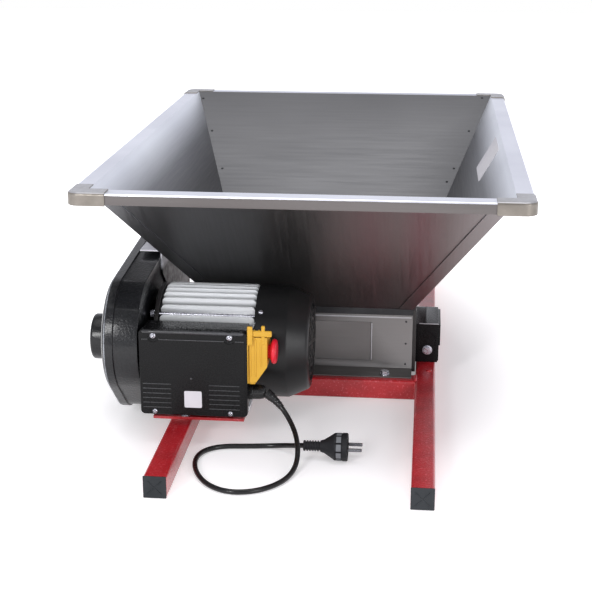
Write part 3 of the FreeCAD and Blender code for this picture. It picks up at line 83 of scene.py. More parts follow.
def startMaterial(name, color, rough, metal=0.0, coat=0.0, gleam=0.5):
    material = bpy.data.materials.new(name)
    material.use_nodes = True
    shader = material.node_tree.nodes["Principled BSDF"]
    for label, value in (("Base Color", color), ("Roughness", rough), ("Metallic", metal),
                         ("Coat Weight", coat), ("Specular IOR Level", gleam)):
        shader.inputs[label].default_value = value
    return material, material.node_tree, shader


def noiseField(tree, scale, detail=3.0, stretch=(1, 1, 1)):
    place = tree.nodes.new("ShaderNodeTexCoord")
    mapping = tree.nodes.new("ShaderNodeMapping")
    mapping.inputs["Scale"].default_value = stretch
    noise = tree.nodes.new("ShaderNodeTexNoise")
    noise.inputs["Scale"].default_value = scale
    noise.inputs["Detail"].default_value = detail
    tree.links.new(place.outputs["Object"], mapping.inputs["Vector"])
    tree.links.new(mapping.outputs["Vector"], noise.inputs["Vector"])
    return noise.outputs["Fac"]


def spread(tree, field, low, high, start=0.3, stop=0.7):  # field as a number from low to high
    ranged = tree.nodes.new("ShaderNodeMapRange")
    for label, value in (("From Min", start), ("From Max", stop), ("To Min", low),
                         ("To Max", high)):
        ranged.inputs[label].default_value = value
    tree.links.new(field, ranged.inputs["Value"])
    return ranged.outputs["Result"]


def tint(tree, shader, field, first, second, start=0.3, stop=0.7):
    ramp = tree.nodes.new("ShaderNodeValToRGB")
    for element, spot, color in zip(ramp.color_ramp.elements, (start, stop), (first, second)):
        element.position, element.color = spot, color
    tree.links.new(field, ramp.inputs["Fac"])
    tree.links.new(ramp.outputs["Color"], shader.inputs["Base Color"])
    return ramp


def roughen(tree, shader, field, low, high):
    tree.links.new(spread(tree, field, low, high), shader.inputs["Roughness"])


def dent(tree, shader, field, strength, depth):
    bump = tree.nodes.new("ShaderNodeBump")
    bump.inputs["Strength"].default_value = strength
    bump.inputs["Distance"].default_value = depth
    tree.links.new(field, bump.inputs["Height"])
    tree.links.new(bump.outputs["Normal"], shader.inputs["Normal"])


def mixColors(tree, factor, first, second, way="MIX"):  # each a socket, or a plain value
    blend = tree.nodes.new("ShaderNodeMix")
    blend.data_type = "RGBA"
    blend.blend_type = way
    for socket, source in ((blend.inputs["Factor"], factor), (blend.inputs[6], first),
                           (blend.inputs[7], second)):
        if isinstance(source, bpy.types.NodeSocket):
            tree.links.new(source, socket)
        else:
            socket.default_value = source
    return blend.outputs[2]


def combine(tree, way, first, second):  # two numbers made one
    node = tree.nodes.new("ShaderNodeMath")
    node.operation = way
    tree.links.new(first, node.inputs[0])
    tree.links.new(second, node.inputs[1])
    return node.outputs[0]


def distanceField(tree, place, scale):  # distance from a spot, with the axes stretched by scale
    coordinate = tree.nodes.new("ShaderNodeTexCoord")
    mapping = tree.nodes.new("ShaderNodeMapping")
    mapping.inputs["Location"].default_value = place
    mapping.inputs["Scale"].default_value = scale
    length = tree.nodes.new("ShaderNodeVectorMath")
    length.operation = "LENGTH"
    tree.links.new(coordinate.outputs["Object"], mapping.inputs["Vector"])
    tree.links.new(mapping.outputs["Vector"], length.inputs[0])
    return length.outputs["Value"]


def fadeAlong(tree, axis, stops):  # colours set at places in metres along an axis of the frame
    place = tree.nodes.new("ShaderNodeTexCoord")
    split = tree.nodes.new("ShaderNodeSeparateXYZ")
    tree.links.new(place.outputs["Object"], split.inputs["Vector"])
    first, last = stops[0][0], stops[-1][0]
    ramp = tree.nodes.new("ShaderNodeValToRGB")
    while len(ramp.color_ramp.elements) < len(stops):
        ramp.color_ramp.elements.new(0.5)
    for element, (spot, color) in zip(ramp.color_ramp.elements, stops):
        element.position = (spot - first) / (last - first)
        element.color = color
    tree.links.new(spread(tree, split.outputs[axis], 0, 1, first, last), ramp.inputs["Fac"])
    return ramp.outputs["Color"]


def makeSheetSteel(name, stretch, dark, light, rough, axis=None, stops=None):
    material, tree, shader = startMaterial(name, light, rough, metal=0.9)
    grain = noiseField(tree, 9, 4, stretch)
    cloud = noiseField(tree, 3.5, 2)
    ramp = tint(tree, shader, cloud, dark, light)
    # the stops multiply in a fade along one axis: painted light and shade
    if stops:
        tree.links.new(mixColors(tree, 1, ramp.outputs["Color"], fadeAlong(tree, axis, stops),
                                 "MULTIPLY"), shader.inputs["Base Color"])
    roughen(tree, shader, grain, rough - 0.05, rough + 0.07)
    dent(tree, shader, grain, 0.12, 0.0002)
    return material


def makeGrained(name, color, shades, rough, fine, coarse, swing, strength, depth, **start):
    material, tree, shader = startMaterial(name, color, rough, **start)
    grain = noiseField(tree, *fine)
    tint(tree, shader, noiseField(tree, *coarse), *shades)
    roughen(tree, shader, grain, rough - swing[0], rough + swing[1])
    dent(tree, shader, grain, strength, depth)
    return material


def makePaint(name, color, deep, rough, grain=900, strength=0.25, coat=0.35):
    material = makeGrained(name, color, (deep, color), rough, (grain, 2), (30, 3), (0.1, 0.12),
                           strength, 0.0004, coat=coat)
    material.node_tree.nodes["Principled BSDF"].inputs["Coat Roughness"].default_value = 0.25
    return material


def makePlastic(name, color, worn, rough, grain=700, strength=0.1, gleam=0.22):
    return makeGrained(name, color, (color, worn), rough, (grain, 2), (14, 4), (0.06, 0.08),
                       strength, 0.0003, gleam=gleam)


def makeCast(name, color, deep, rough, metal, grain=260, strength=0.3):
    return makeGrained(name, color, (deep, color), rough, (grain, 4), (40, 4), (0.08, 0.1),
                       strength, 0.0004, metal=metal)


def addGlintFlecks(name, color, scale, start, stop):  # pale flecks painted as glints of the gritty powder coat
    tree = finish[name].node_tree
    shader = tree.nodes["Principled BSDF"]
    under = shader.inputs["Base Color"].links[0].from_socket
    grain = noiseField(tree, scale, 2)
    tree.links.new(mixColors(tree, spread(tree, grain, 0, 1, start, stop), under, color),
                   shader.inputs["Base Color"])
    dent(tree, shader, grain, 0.5, 0.0012)


def makeHammered(name, color, worn, rough):
    material, tree, shader = startMaterial(name, color, rough, coat=0.3, gleam=0.25)
    shader.inputs["Coat Roughness"].default_value = 0.14
    blister = noiseField(tree, 330, 2)
    tint(tree, shader, blister, color, worn)
    dent(tree, shader, blister, 0.55, 0.0011)
    return material


finish = {name: make(name, *setting) for name, (make, *setting) in {
    # hopper side walls: painted shade low down and a painted reflection of the bright room towards
    # the rim, as a fade along z
    "sheetSide": (makeSheetSteel, (30, 1, 30), tone(240, 240, 242), tone(255, 255, 255), 0.46, "Z",
                  [(0.12, tone(112, 112, 114)), (0.255, tone(118, 118, 120)),
                   (0.305, tone(150, 151, 155)), (0.352, tone(246, 249, 255))]),
    "sheetRear": (makeSheetSteel, (1, 30, 1), tone(112, 112, 114), tone(122, 122, 124), 0.5),
    # outer faces of the hopper: a painted reflection along x, dark on the left as of the black
    # motor and pinkish in the middle as of the red frame
    "sheetOuter": (makeSheetSteel, (30, 1, 1), tone(236, 236, 236), tone(255, 255, 255), 0.38, "X",
                   [(-0.25, tone(132, 132, 134)), (-0.09, tone(114, 114, 115)),
                    (0.0, tone(100, 98, 97)), (0.05, tone(112, 101, 100)),
                    (0.09, tone(122, 101, 102)), (0.125, tone(126, 115, 114)),
                    (0.155, tone(140, 117, 120)), (0.19, tone(134, 125, 124)),
                    (0.26, tone(158, 152, 152))]),
    # the rim as a lit copy for its top and a shaded copy for its sides, of one steel: painted
    # light and shade
    "rimTop": (makeSheetSteel, (3, 3, 3), tone(226, 228, 238), tone(244, 246, 255), 0.34),
    "rimSide": (makeSheetSteel, (1, 30, 30), tone(92, 88, 87), tone(106, 102, 101), 0.4),
    "boxSheet": (makeSheetSteel, (2, 30, 30), tone(106, 104, 103), tone(126, 124, 123), 0.4),
    # rim corner caps: this darker copy goes on their sides and a lighter copy on their tops,
    # painted light and shade
    "rimCap": (makeCast, tone(138, 132, 124), tone(116, 110, 102), 0.36, 0.55, 200, 0.15),
    "powderRed": (makePaint, tone(188, 22, 32), tone(158, 12, 22), 0.34, 900, 0.25, 0.6),
    "blackPlastic": (makePlastic, tone(13, 13, 14), tone(20, 20, 21), 0.4),
    "blackGloss": (makePlastic, tone(12, 12, 13), tone(18, 18, 19), 0.26, 700, 0.1, 0.16),
    "capPlastic": (makePlastic, tone(40, 43, 46), tone(56, 59, 62), 0.5, 500, 0.2),
    "hammered": (makeHammered, tone(14, 15, 17), tone(26, 27, 30), 0.3),
    "blackPaint": (makePaint, tone(30, 27, 26), tone(22, 20, 19), 0.4, 500, 0.2, 0.05),
    "castAluminium": (makeCast, tone(236, 238, 240), tone(214, 216, 218), 0.42, 0.35),
    "rollerCast": (makeCast, tone(176, 176, 178), tone(150, 150, 152), 0.4, 0.9),
    "turnedSteel": (makeSheetSteel, (40, 1, 1), tone(150, 150, 154), tone(184, 184, 188), 0.26),
    "castIron": (makeCast, tone(92, 92, 94), tone(70, 70, 72), 0.5, 0.8),
    "zinc": (makeCast, tone(204, 204, 212), tone(150, 150, 158), 0.26, 0.9, 420, 0.5),
    "bronze": (makeCast, tone(190, 140, 82), tone(160, 112, 62), 0.35, 0.95, 300, 0.1),
    "yellow": (makePlastic, tone(212, 164, 50), tone(204, 154, 38), 0.38, 900, 0.06, 0.4),
    "red": (makePlastic, tone(228, 24, 50), tone(214, 18, 42), 0.3, 900, 0.05, 0.5),
    "green": (makePlastic, tone(34, 128, 62), tone(28, 116, 54), 0.35, 900, 0.05),
    "rubber": (makePlastic, tone(14, 14, 15), tone(20, 20, 21), 0.26, 1200, 0.05, 0.4),
    "beltRubber": (makePlastic, tone(26, 26, 26), tone(36, 36, 36), 0.7, 600, 0.3),
    "nickel": (makeCast, tone(120, 120, 124), tone(100, 100, 104), 0.3, 0.9, 200, 0.05),
    "coverPlastic": (makePlastic, tone(20, 20, 21), tone(27, 27, 28), 0.34, 900, 0.12, 0.3),
    "plugRubber": (makePlastic, tone(26, 26, 29), tone(34, 34, 37), 0.5, 1000, 0.15),
    "plugGrip": (makePlastic, tone(116, 118, 122), tone(100, 102, 106), 0.5, 1400, 0.2),
    "rivetSteel": (makeCast, tone(54, 54, 56), tone(40, 40, 42), 0.4, 0.6, 300, 0.1),
    # pale lip on the parting line of the casing: a painted highlight
    "wornEdge": (makeCast, tone(176, 180, 186), tone(96, 98, 102), 0.3, 0.5, 160, 0.2),
    # lighter black for the lid's ribs, strip, band, screw rims and nub: painted highlights on
    # their edges
    "wornBlack": (makePlastic, tone(62, 63, 66), tone(40, 40, 42), 0.3, 500, 0.1, 0.5),
    # lighter copy for the tops of the rim's corner caps and for the bright strips: painted light
    "capTop": (makeCast, tone(186, 186, 190), tone(166, 165, 167), 0.36, 0.6, 200, 0.15),
    "label": (makePlastic, tone(214, 212, 216), tone(204, 202, 208), 0.5, 300, 0.03),
}.items()}
addGlintFlecks("powderRed", tone(220, 96, 108), 300, 0.58, 0.78)


def makeBracketFinish():  # zinc plate, with painted shade below the top edge
    material, tree, shader = startMaterial("bracketZincShaded", tone(60, 60, 62), 0.4, metal=0.6)
    tree.links.new(fadeAlong(tree, "Z", [(0.03, tone(16, 15, 15)), (0.2, tone(20, 19, 19)),
                                         (0.208, tone(214, 214, 220)),
                                         (0.23, tone(226, 226, 232))]),
                   shader.inputs["Base Color"])
    pit = noiseField(tree, 140, 3)
    roughen(tree, shader, pit, 0.32, 0.5)
    dent(tree, shader, pit, 0.15, 0.0003)
    return material


finish["bracketZincShaded"] = makeBracketFinish()


def makeFinFinish():  # cast aluminium, with painted shade between the fins
    material, tree, shader = startMaterial("finAluminiumShaded", tone(230, 232, 234), 0.42, metal=0.35)
    reach = distanceField(tree, (0, 0.294, -0.114), (0, 1, 1))  # from the axis of the motor
    # faces nearer the axis than the outer edge of the fins are painted dark as shade
    tint(tree, shader, spread(tree, reach, 0, 1, 0.0695, 0.0765),
         tone(56, 57, 60), tone(240, 242, 244), 0, 1)
    pit = noiseField(tree, 300, 4)
    roughen(tree, shader, pit, 0.34, 0.54)
    dent(tree, shader, pit, 0.2, 0.0003)
    return material


finish["finAluminiumShaded"] = makeFinFinish()

nodeFinish = {  # of the CAD solids that are shown as they are
    "boxSheet": ["guide_plates"],
    "blackPlastic": ["motor_fan", "switch_module", "terminal_block"],
    "blackPaint": ["motor_shield_right"],
    "castAluminium": ["run_capacitor"],
    "rollerCast": ["drive_roller", "driven_roller"],
    "turnedSteel": ["drive_shaft", "driven_shaft", "layshaft", "motor_rotor", "motor_stator",
                    "drive_timing_gear", "driven_timing_gear", "roller_gear", "layshaft_pinion",
                    "shaft_bearings", "switch_hinge_pin"],
    "castIron": ["layshaft_pulley", "motor_pulley"],
    "bronze": ["roller_bushes"],
    "red": ["stop_button"],
    "green": ["start_button"],
    "rubber": ["junction_box_gasket"],
    "beltRubber": ["drive_belt"],
}
for finishName, members in nodeFinish.items():
    for member in members:
        nodes[member].data.materials.clear()
        nodes[member].data.materials.append(finish[finishName])
print("finishes made")


# the lead
lead = {"radius": 3.5 * mm, "length": 0.55,
        "route": [(-49, -395, 73), (-35, -397.5, 63), (-20, -406, 47), (-6, -430, 33),
                  (1, -458, 23), (2, -481, 9.5), (-4, -508, 3.5), (-18, -537, 3.5),
                  (-44, -560, 3.5), (-78, -566, 3.5), (-108, -547, 3.5), (-128, -512, 3.5),
                  (-137, -474, 3.5), (-132, -443, 3.5), (-110, -424, 3.5), (-70, -420, 3.5),
                  (-42, -416, 3.5), (-22, -422, 7.5), (-6, -437, 14.5), (8, -445, 19)]}


def makeLead():
    curve = bpy.data.curves.new("mainsLead", "CURVE")
    curve.dimensions = "3D"
    curve.bevel_depth = lead["radius"]
    curve.bevel_resolution = 6
    curve.resolution_u = 16
    curve.use_fill_caps = True
    spline = curve.splines.new("NURBS")
    spline.points.add(len(lead["route"]) - 1)
    for point, spot in zip(spline.points, lead["route"]):
        point.co = (spot[0] * mm, spot[1] * mm, spot[2] * mm, 1)
    spline.order_u = 3
    spline.use_endpoint_u = True
    piece = addObject("mainsLead", curve)
    curve.materials.append(finish["rubber"])
    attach(piece, "frame")
    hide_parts("mains_cord")
    return piece


leadPiece = makeLead()
print("lead laid")


# pale floor, white away from the machine so that it has no horizon
ground = {"half": 6, "drop": 0.0005, "ovalPlace": (0, 0.13, 0), "ovalScale": (1.5, 1, 1),
          "glowNear": 0.3, "glowStart": 0.36, "glowStop": 0.8}
sky = {"low": 0.15, "lowColor": (0.92, 0.93, 1.0, 1),
       "high": 0.75, "highColor": (0.4, 0.4, 0.42, 1)}
lamps = {  # place, target, width, height, power
    "lampAbove": ((0.0, -0.3, 2.4), (0, -0.1, 0), 2.0, 2.0, 24),
    "lampLeft": ((-1.0, -2.5, 1.15), (-0.2, -0.3, 0.1), 0.5, 0.8, 24),
    "lampRight": ((1.4, -2.0, 0.7), (0, -0.3, 0.1), 0.5, 1.1, 12),
}


def makeFloor():
    mesh = bpy.data.meshes.new("floor")
    half = ground["half"]
    mesh.from_pydata([(-half, -half, 0), (half, -half, 0), (half, half, 0), (-half, half, 0)], [],
                     [(0, 1, 2, 3)])
    floor = addObject("floor", mesh)
    floor.location.z = -ground["drop"]
    material, tree, shader = startMaterial("paleFloor", tone(236, 234, 236), 0.8)
    path = tree.nodes.new("ShaderNodeLightPath")
    seen = combine(tree, "MAXIMUM", path.outputs["Is Camera Ray"], path.outputs["Is Glossy Ray"])
    away = spread(tree, distanceField(tree, ground["ovalPlace"], ground["ovalScale"]),
                  ground["glowNear"], 1, ground["glowStart"], ground["glowStop"])
    tree.links.new(combine(tree, "MULTIPLY", seen, away), shader.inputs["Emission Strength"])
    shader.inputs["Emission Color"].default_value = (1, 1, 1, 1)
    mesh.materials.append(material)


def makeWorld():
    world = bpy.data.worlds.new("studio")
    bpy.context.scene.world = world
    world.use_nodes = True
    tree = world.node_tree
    back = tree.nodes["Background"]
    place = tree.nodes.new("ShaderNodeTexCoord")
    split = tree.nodes.new("ShaderNodeSeparateXYZ")
    ramp = tree.nodes.new("ShaderNodeValToRGB")
    for element, level in zip(ramp.color_ramp.elements, ("low", "high")):
        element.position = sky[level]
        element.color = sky[level + "Color"]
    tree.links.new(place.outputs["Generated"], split.inputs["Vector"])
    tree.links.new(split.outputs["Z"], ramp.inputs["Fac"])
    path = tree.nodes.new("ShaderNodeLightPath")
    white = mixColors(tree, path.outputs["Is Camera Ray"], ramp.outputs["Color"], (1, 1, 1, 1))
    tree.links.new(white, back.inputs["Color"])
    back.inputs["Strength"].default_value = 1.0


def makeLamp(name, place, target, width, height, power):
    lamp = bpy.data.lights.new(name, "AREA")
    lamp.shape = "RECTANGLE"
    lamp.size = width
    lamp.size_y = height
    lamp.energy = power
    piece = addObject(name, lamp)
    piece.location = place
    way = Vector(target) - Vector(place)
    piece.rotation_euler = way.to_track_quat("-Z", "Y").to_euler()


makeFloor()
makeWorld()
for name, setting in lamps.items():
    makeLamp(name, *setting)
print("floor and light set")


# ways of making a piece
def finishPiece(name, shape, material, replaced=(), angle=35, body="frame"):
    bmesh.ops.recalc_face_normals(shape, faces=shape.faces)
    mesh = bpy.data.meshes.new(name)
    shape.to_mesh(mesh)
    shape.free()
    for polygon in mesh.polygons:
        polygon.use_smooth = True
    mesh.set_sharp_from_angle(angle=math.radians(angle))
    mesh.materials.clear()
    mesh.materials.append(finish[material])
    piece = addObject(name, mesh)
    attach(piece, body)
    if replaced:
        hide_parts(*replaced)
    return piece


def addBevel(piece, width, segments=3, angle=30):
    bevel = piece.modifiers.new("edges", "BEVEL")
    bevel.width = width * mm
    bevel.segments = segments
    bevel.limit_method = "ANGLE"
    bevel.angle_limit = math.radians(angle)
    bevel.harden_normals = True
    return piece


def cleanCopy(node):  # the CAD solid with its flat faces made whole again
    shape = bmesh.new()
    shape.from_mesh(nodes[node].data)
    bmesh.ops.remove_doubles(shape, verts=shape.verts, dist=0.002 * mm)
    bmesh.ops.dissolve_limit(shape, angle_limit=math.radians(0.4), verts=shape.verts,
                             edges=shape.edges)
    return shape


def softEdged(node, width, material, segments=2, angle=40):
    piece = finishPiece(node + "Soft", cleanCopy(node), material, (node,), angle,
                        body=bodyOf[node])
    return addBevel(piece, width, segments, angle)


def reshaped(node, width, material, change):  # soft-edged, each corner moved in mm
    shape = cleanCopy(node)
    for vert in shape.verts:
        vert.co = change(vert.co / mm) * mm
    piece = finishPiece(node + "Soft", shape, material, (node,), 45, body=bodyOf[node])
    return addBevel(piece, width, 3, 40)


def solidBoxes(node):  # lowest and highest corner of each separate solid of a node, in mm
    shape = bmesh.new()
    shape.from_mesh(nodes[node].data)
    bmesh.ops.remove_doubles(shape, verts=shape.verts, dist=0.002 * mm)
    left = set(shape.verts)
    boxes = []
    while left:
        group, edge = set(), [left.pop()]
        while edge:
            vert = edge.pop()
            group.add(vert)
            for link in vert.link_edges:
                other = link.other_vert(vert)
                if other in left:
                    left.discard(other)
                    edge.append(other)
        low = [min(vert.co[axis] for vert in group) / mm for axis in range(3)]
        high = [max(vert.co[axis] for vert in group) / mm for axis in range(3)]
        boxes.append((low, high))
    shape.free()
    return sorted(boxes)


def addBlock(shape, low, high):
    made = bmesh.ops.create_cube(shape, size=1)
    for vert in made["verts"]:
        vert.co = Vector([(low[axis] + high[axis]) / 2 + vert.co[axis] * (high[axis] - low[axis])
                          for axis in range(3)]) * mm
    return made["verts"]


def thicken(shape, face, move):  # a flat face pulled out by move, in metres
    for item in bmesh.ops.extrude_face_region(shape, geom=[face])["geom"]:
        if isinstance(item, bmesh.types.BMVert):
            item.co += move


def addRings(shape, rings, closeStart=True, closeEnd=True):  # rings of points, skinned in order
    rows = [[shape.verts.new(point) for point in ring] for ring in rings]
    count = len(rows[0])
    for first, second in zip(rows, rows[1:]):
        for place in range(count):
            after = (place + 1) % count
            shape.faces.new((first[place], first[after], second[after], second[place]))
    if closeStart:
        shape.faces.new(rows[0][::-1])
    if closeEnd:
        shape.faces.new(rows[-1])


def turnedRings(profile, centre, steps=64, way="x", warp=None):
    rings = []
    for along, radius in profile:
        ring = []
        for step in range(steps):
            turn = 2 * math.pi * step / steps
            reach = radius if warp is None else warp(along, radius, turn)
            across, up = reach * math.cos(turn), reach * math.sin(turn)
            if way == "x":
                spot = (along, centre[0] + across, centre[1] + up)
            elif way == "y":
                spot = (centre[0] + across, along, centre[1] + up)
            else:
                spot = (centre[0] + across, centre[1] + up, along)
            ring.append(Vector(spot) * mm)
        rings.append(ring)
    return rings


def roundedProfile(points, rounding, steps=5):  # corner points of a profile, each corner rounded
    out = [points[0]]
    for before, corner, after in zip(points, points[1:], points[2:]):
        a, b, c = Vector(before), Vector(corner), Vector(after)
        reach = min(rounding, (a - b).length * 0.45, (c - b).length * 0.45)
        start, stop = b + (a - b).normalized() * reach, b + (c - b).normalized() * reach
        for step in range(steps + 1):
            part = step / steps
            spot = start * (1 - part) ** 2 + b * 2 * part * (1 - part) + stop * part ** 2
            out.append((spot.x, spot.y))
    out.append(points[-1])
    return out


def addTube(shape, spots, radii, steps=12):  # a tube along spots in metres
    rings, side = [], None
    for place, spot in enumerate(spots):
        way = (spots[min(place + 1, len(spots) - 1)] - spots[max(place - 1, 0)]).normalized()
        if side is None:
            side = way.orthogonal().normalized()
        side = (side - way * side.dot(way)).normalized()
        other = way.cross(side)
        radius = radii[place] * mm
        rings.append([spot + side * radius * math.cos(2 * math.pi * step / steps)
                      + other * radius * math.sin(2 * math.pi * step / steps)
                      for step in range(steps)])
    addRings(shape, rings)


# rails and crossbars: square tube with rolled corners
tube = {"corner": 3.5, "capEdge": 1.2}


def makeSquareTube(name, low, high, along, replaced):
    shape = bmesh.new()
    across = [axis for axis in range(3) if axis != along]
    corner = tube["corner"]
    section = []
    for signU, signV, start in ((1, 1, 0), (-1, 1, 90), (-1, -1, 180), (1, -1, 270)):
        for step in range(7):
            turn = math.radians(start + 15 * step)
            u = (high if signU > 0 else low)[across[0]] - signU * corner + corner * math.cos(turn)
            v = (high if signV > 0 else low)[across[1]] - signV * corner + corner * math.sin(turn)
            section.append((u, v))
    rings = []
    pieces = 24
    for place in range(pieces + 1):
        ring = []
        for u, v in section:
            spot = [0, 0, 0]
            spot[along] = low[along] + (high[along] - low[along]) * place / pieces
            spot[across[0]], spot[across[1]] = u, v
            ring.append(Vector(spot) * mm)
        rings.append(ring)
    addRings(shape, rings)
    finishPiece(name, shape, "powderRed", replaced, 50)


for side in ("left", "right"):
    low, high = solidBoxes("rail_" + side)[0]
    makeSquareTube("railTube" + side.title(), low, high, 1, ("rail_" + side,))
bars = solidBoxes("crossbars")
makeSquareTube("crossbarFront", *bars[0], 0, ("crossbars",))
makeSquareTube("crossbarRear", *bars[1], 0, ())
softEdged("rail_end_caps", tube["capEdge"], "capPlastic", 3)


def makeCapMarks():  # crossed ribs moulded on the end of each cap
    shape = bmesh.new()
    for low, high in solidBoxes("rail_end_caps"):
        front = low[1] if low[1] < 0 else high[1]
        middle = ((low[0] + high[0]) / 2, (low[2] + high[2]) / 2)
        for slope in (-1, 1):
            spots = [Vector((middle[0] + reach, front - math.copysign(0.35, front),
                             middle[1] + slope * reach)) * mm for reach in (-9, 0, 9)]
            addTube(shape, spots, (0.5, 0.8, 0.5), 10)
    finishPiece("capMarks", shape, "capPlastic", (), 60)


makeCapMarks()

weld = {"radius": 3.2, "pitch": 4.5}


def addWeld(shape, start, stop):
    start, stop = Vector(start), Vector(stop)
    count = max(4, int((stop - start).length / weld["pitch"] * 4))
    spots, radii = [], []
    for place in range(count + 1):
        part = place / count
        spots.append((start + (stop - start) * part) * mm)
        swell = 0.72 + 0.28 * abs(math.sin(part * (stop - start).length / weld["pitch"] * math.pi))
        fade = min(1, 4 * min(part, 1 - part) + 0.35)
        radii.append(weld["radius"] * swell * fade)
    addTube(shape, spots, radii)


def makeWelds():
    shape = bmesh.new()
    for low, high in bars:
        for x in (low[0], high[0]):
            for y in (low[1], high[1]):
                addWeld(shape, (x, y, low[2] + 2), (x, y, high[2] - 2))
            addWeld(shape, (x, low[1] + 3, high[2] - 0.6), (x, high[1] - 3, high[2] - 0.6))
    finishPiece("weldBeads", shape, "powderRed", (), 60)


makeWelds()
print("frame made")


# sheet metal, with its rivets and bolts
rivet = {"radius": 2.4, "rise": 0.9, "boxX": 137, "boxHeights": (107, 72, 39),
         "frontParts": (0.14, 0.38, 0.62, 0.86),
         "rear": ((-265.6, 408.5, 348.3), (-236.8, 329.8, 301), (-205.1, 242.6, 248.6),
                  (-176, 165, 202), (260.3, 420.2, 355.3), (235.5, 339.4, 306.8),
                  (209.2, 253.1, 255), (197, 223.6, 237.2), (176, 165, 202))}


def addDome(shape, centre, normal, radius, rise, steps=14):
    normal = Vector(normal).normalized()
    side = normal.orthogonal().normalized()
    other = normal.cross(side)
    centre = Vector(centre) * mm
    rings = []
    for part in (0, 0.3, 0.55, 0.75, 0.9, 0.98):
        reach = radius * math.sqrt(max(0.0, 1 - part ** 2)) * mm
        rings.append([centre + normal * (rise * part * mm - 0.1 * mm * (part == 0))
                      + side * reach * math.cos(2 * math.pi * step / steps)
                      + other * reach * math.sin(2 * math.pi * step / steps)
                      for step in range(steps)])
    addRings(shape, rings)


hopper = {"throatX": 147, "throatZ": 127, "flare": 131, "rise": 233, "seamBelow": 0.1265,
          "rimAbove": 0.338}
boxLow = Vector(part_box("box_front_wall")[0]) / mm


def makeHopper():
    for side in ("left", "right", "front", "rear"):
        looks = ["sheetRear" if side == "rear" else "sheetSide", "sheetOuter", "rimTop",
                 "rimSide", "rivetSteel"]
        piece = softEdged("hopper_" + side, 0.5, looks[0], 2, 40)
        for look in looks[1:]:
            piece.data.materials.append(finish[look])
        # outer faces, the rim's top and the rim's sides get lighter or darker copies of one steel
        # by the way they face: painted light and shade; faces below the seam take the dark rivet
        # steel
        for polygon in piece.data.polygons:
            look = looks[0]
            if polygon.center.z < hopper["seamBelow"]:
                look = "rivetSteel"
            elif polygon.center.z > hopper["rimAbove"]:
                look = "rimTop" if polygon.normal.z > 0.3 else "rimSide"
            elif polygon.normal.z < 0.05:
                look = "sheetOuter"
            polygon.material_index = looks.index(look)


makeHopper()


def wallSpot(node, spot, way):  # place in mm on the face of a node, met from spot along way
    mesh = nodes[node].data
    tree = BVHTree.FromPolygons([vert.co for vert in mesh.vertices],
                                [polygon.vertices for polygon in mesh.polygons])
    where, normal = tree.ray_cast(Vector(spot) * mm, Vector(way).normalized())[:2]
    return where / mm, normal


def makeRivets():
    shape = bmesh.new()
    for x, y, z in rivet["rear"]:
        spot, normal = wallSpot("hopper_rear", (x, y - 20, z + 30), (0, 20, -30))
        addDome(shape, spot, normal, rivet["radius"], rivet["rise"])
    for part in rivet["frontParts"]:
        for side in (-1, 1):
            x = side * (hopper["throatX"] + hopper["flare"] * part - 5)
            z = hopper["throatZ"] + hopper["rise"] * part
            spot, normal = wallSpot("hopper_front", (x, -470, z), (0, 1, 0))
            addDome(shape, spot, normal, rivet["radius"] * 0.8, rivet["rise"])
    for height in rivet["boxHeights"]:
        for side in (-1, 1):
            addDome(shape, (side * rivet["boxX"], boxLow.y + 39, height), (0, -1, 0),
                    rivet["radius"] * 0.7, rivet["rise"] * 0.6)
    finishPiece("sheetRivets", shape, "rivetSteel", (), 70)


makeRivets()
for node in ("box_front_wall", "box_rear_wall"):
    softEdged(node, 0.7, "boxSheet")
corners = softEdged("rim_corners", 0.5, "rimCap", 2, 50)
# faces that point up take the lighter copy: painted light on the caps' tops
corners.data.materials.append(finish["capTop"])
for polygon in corners.data.polygons:
    polygon.material_index = 1 if polygon.normal.z > 0.6 else 0

# painted highlights: bright strips under the collar, beside the pressed panel and on the gear
# cover
wornEdges = (((-60, -171, 112.4), (145, -169.8, 114.6)),
             ((84.3, -171.7, 44.5), (85.9, -170.6, 103.5)),
             ((156.5, -133.4, 91.9), (186.5, -132.2, 93.1)))


def makeHighlightStrips():
    shape = bmesh.new()
    for low, high in wornEdges:
        addBlock(shape, low, high)
    addBevel(finishPiece("wornEdges", shape, "capTop", (), 30), 0.3, 2)


makeHighlightStrips()
softEdged("drive_bracket", 0.8, "bracketZincShaded")
softEdged("gear_cover", 1.1, "blackGloss", 3)
softEdged("motor_base_plate", 1.0, "powderRed")
for side in ("left", "right"):
    softEdged("side_plate_" + side, 0.8, "blackPaint")

bolt = {"washerRadius": 7.6, "washerThick": 1.2, "crown": 0.6}


def makeBolts():
    softEdged("frame_bolts", bolt["crown"], "zinc", 3)
    shape = bmesh.new()
    thick, reach = bolt["washerThick"], bolt["washerRadius"]
    for low, high in solidBoxes("frame_bolts"):
        middle = [(low[axis] + high[axis]) / 2 for axis in range(3)]
        if high[1] - low[1] < high[2] - low[2] - 2:  # the bolt lies along y
            seat, sign, way, centre = high[1], 1, "y", (middle[0], middle[2])
        else:
            seat, sign, way, centre = low[2], -1, "z", (middle[0], middle[1])
        profile = [(seat + sign * along, radius) for along, radius
                   in ((0.2, 0.1), (0.2, reach), (-thick, reach), (-thick, 0.1))]
        addRings(shape, turnedRings(roundedProfile(profile, 0.4), centre, 32, way))
    finishPiece("boltWashers", shape, "zinc", (), 40)


makeBolts()


railScrew = {"place": (173, -172, 30), "radius": 4.6, "rise": 2.2}


def makeRailScrew():  # a painted-over screw head on the right rail, in front of the gear cover
    shape = bmesh.new()
    addDome(shape, railScrew["place"], (0, 0, 1), railScrew["radius"], railScrew["rise"], 20)
    finishPiece("railScrew", shape, "powderRed", (), 60)


makeRailScrew()
print("sheet metal made")


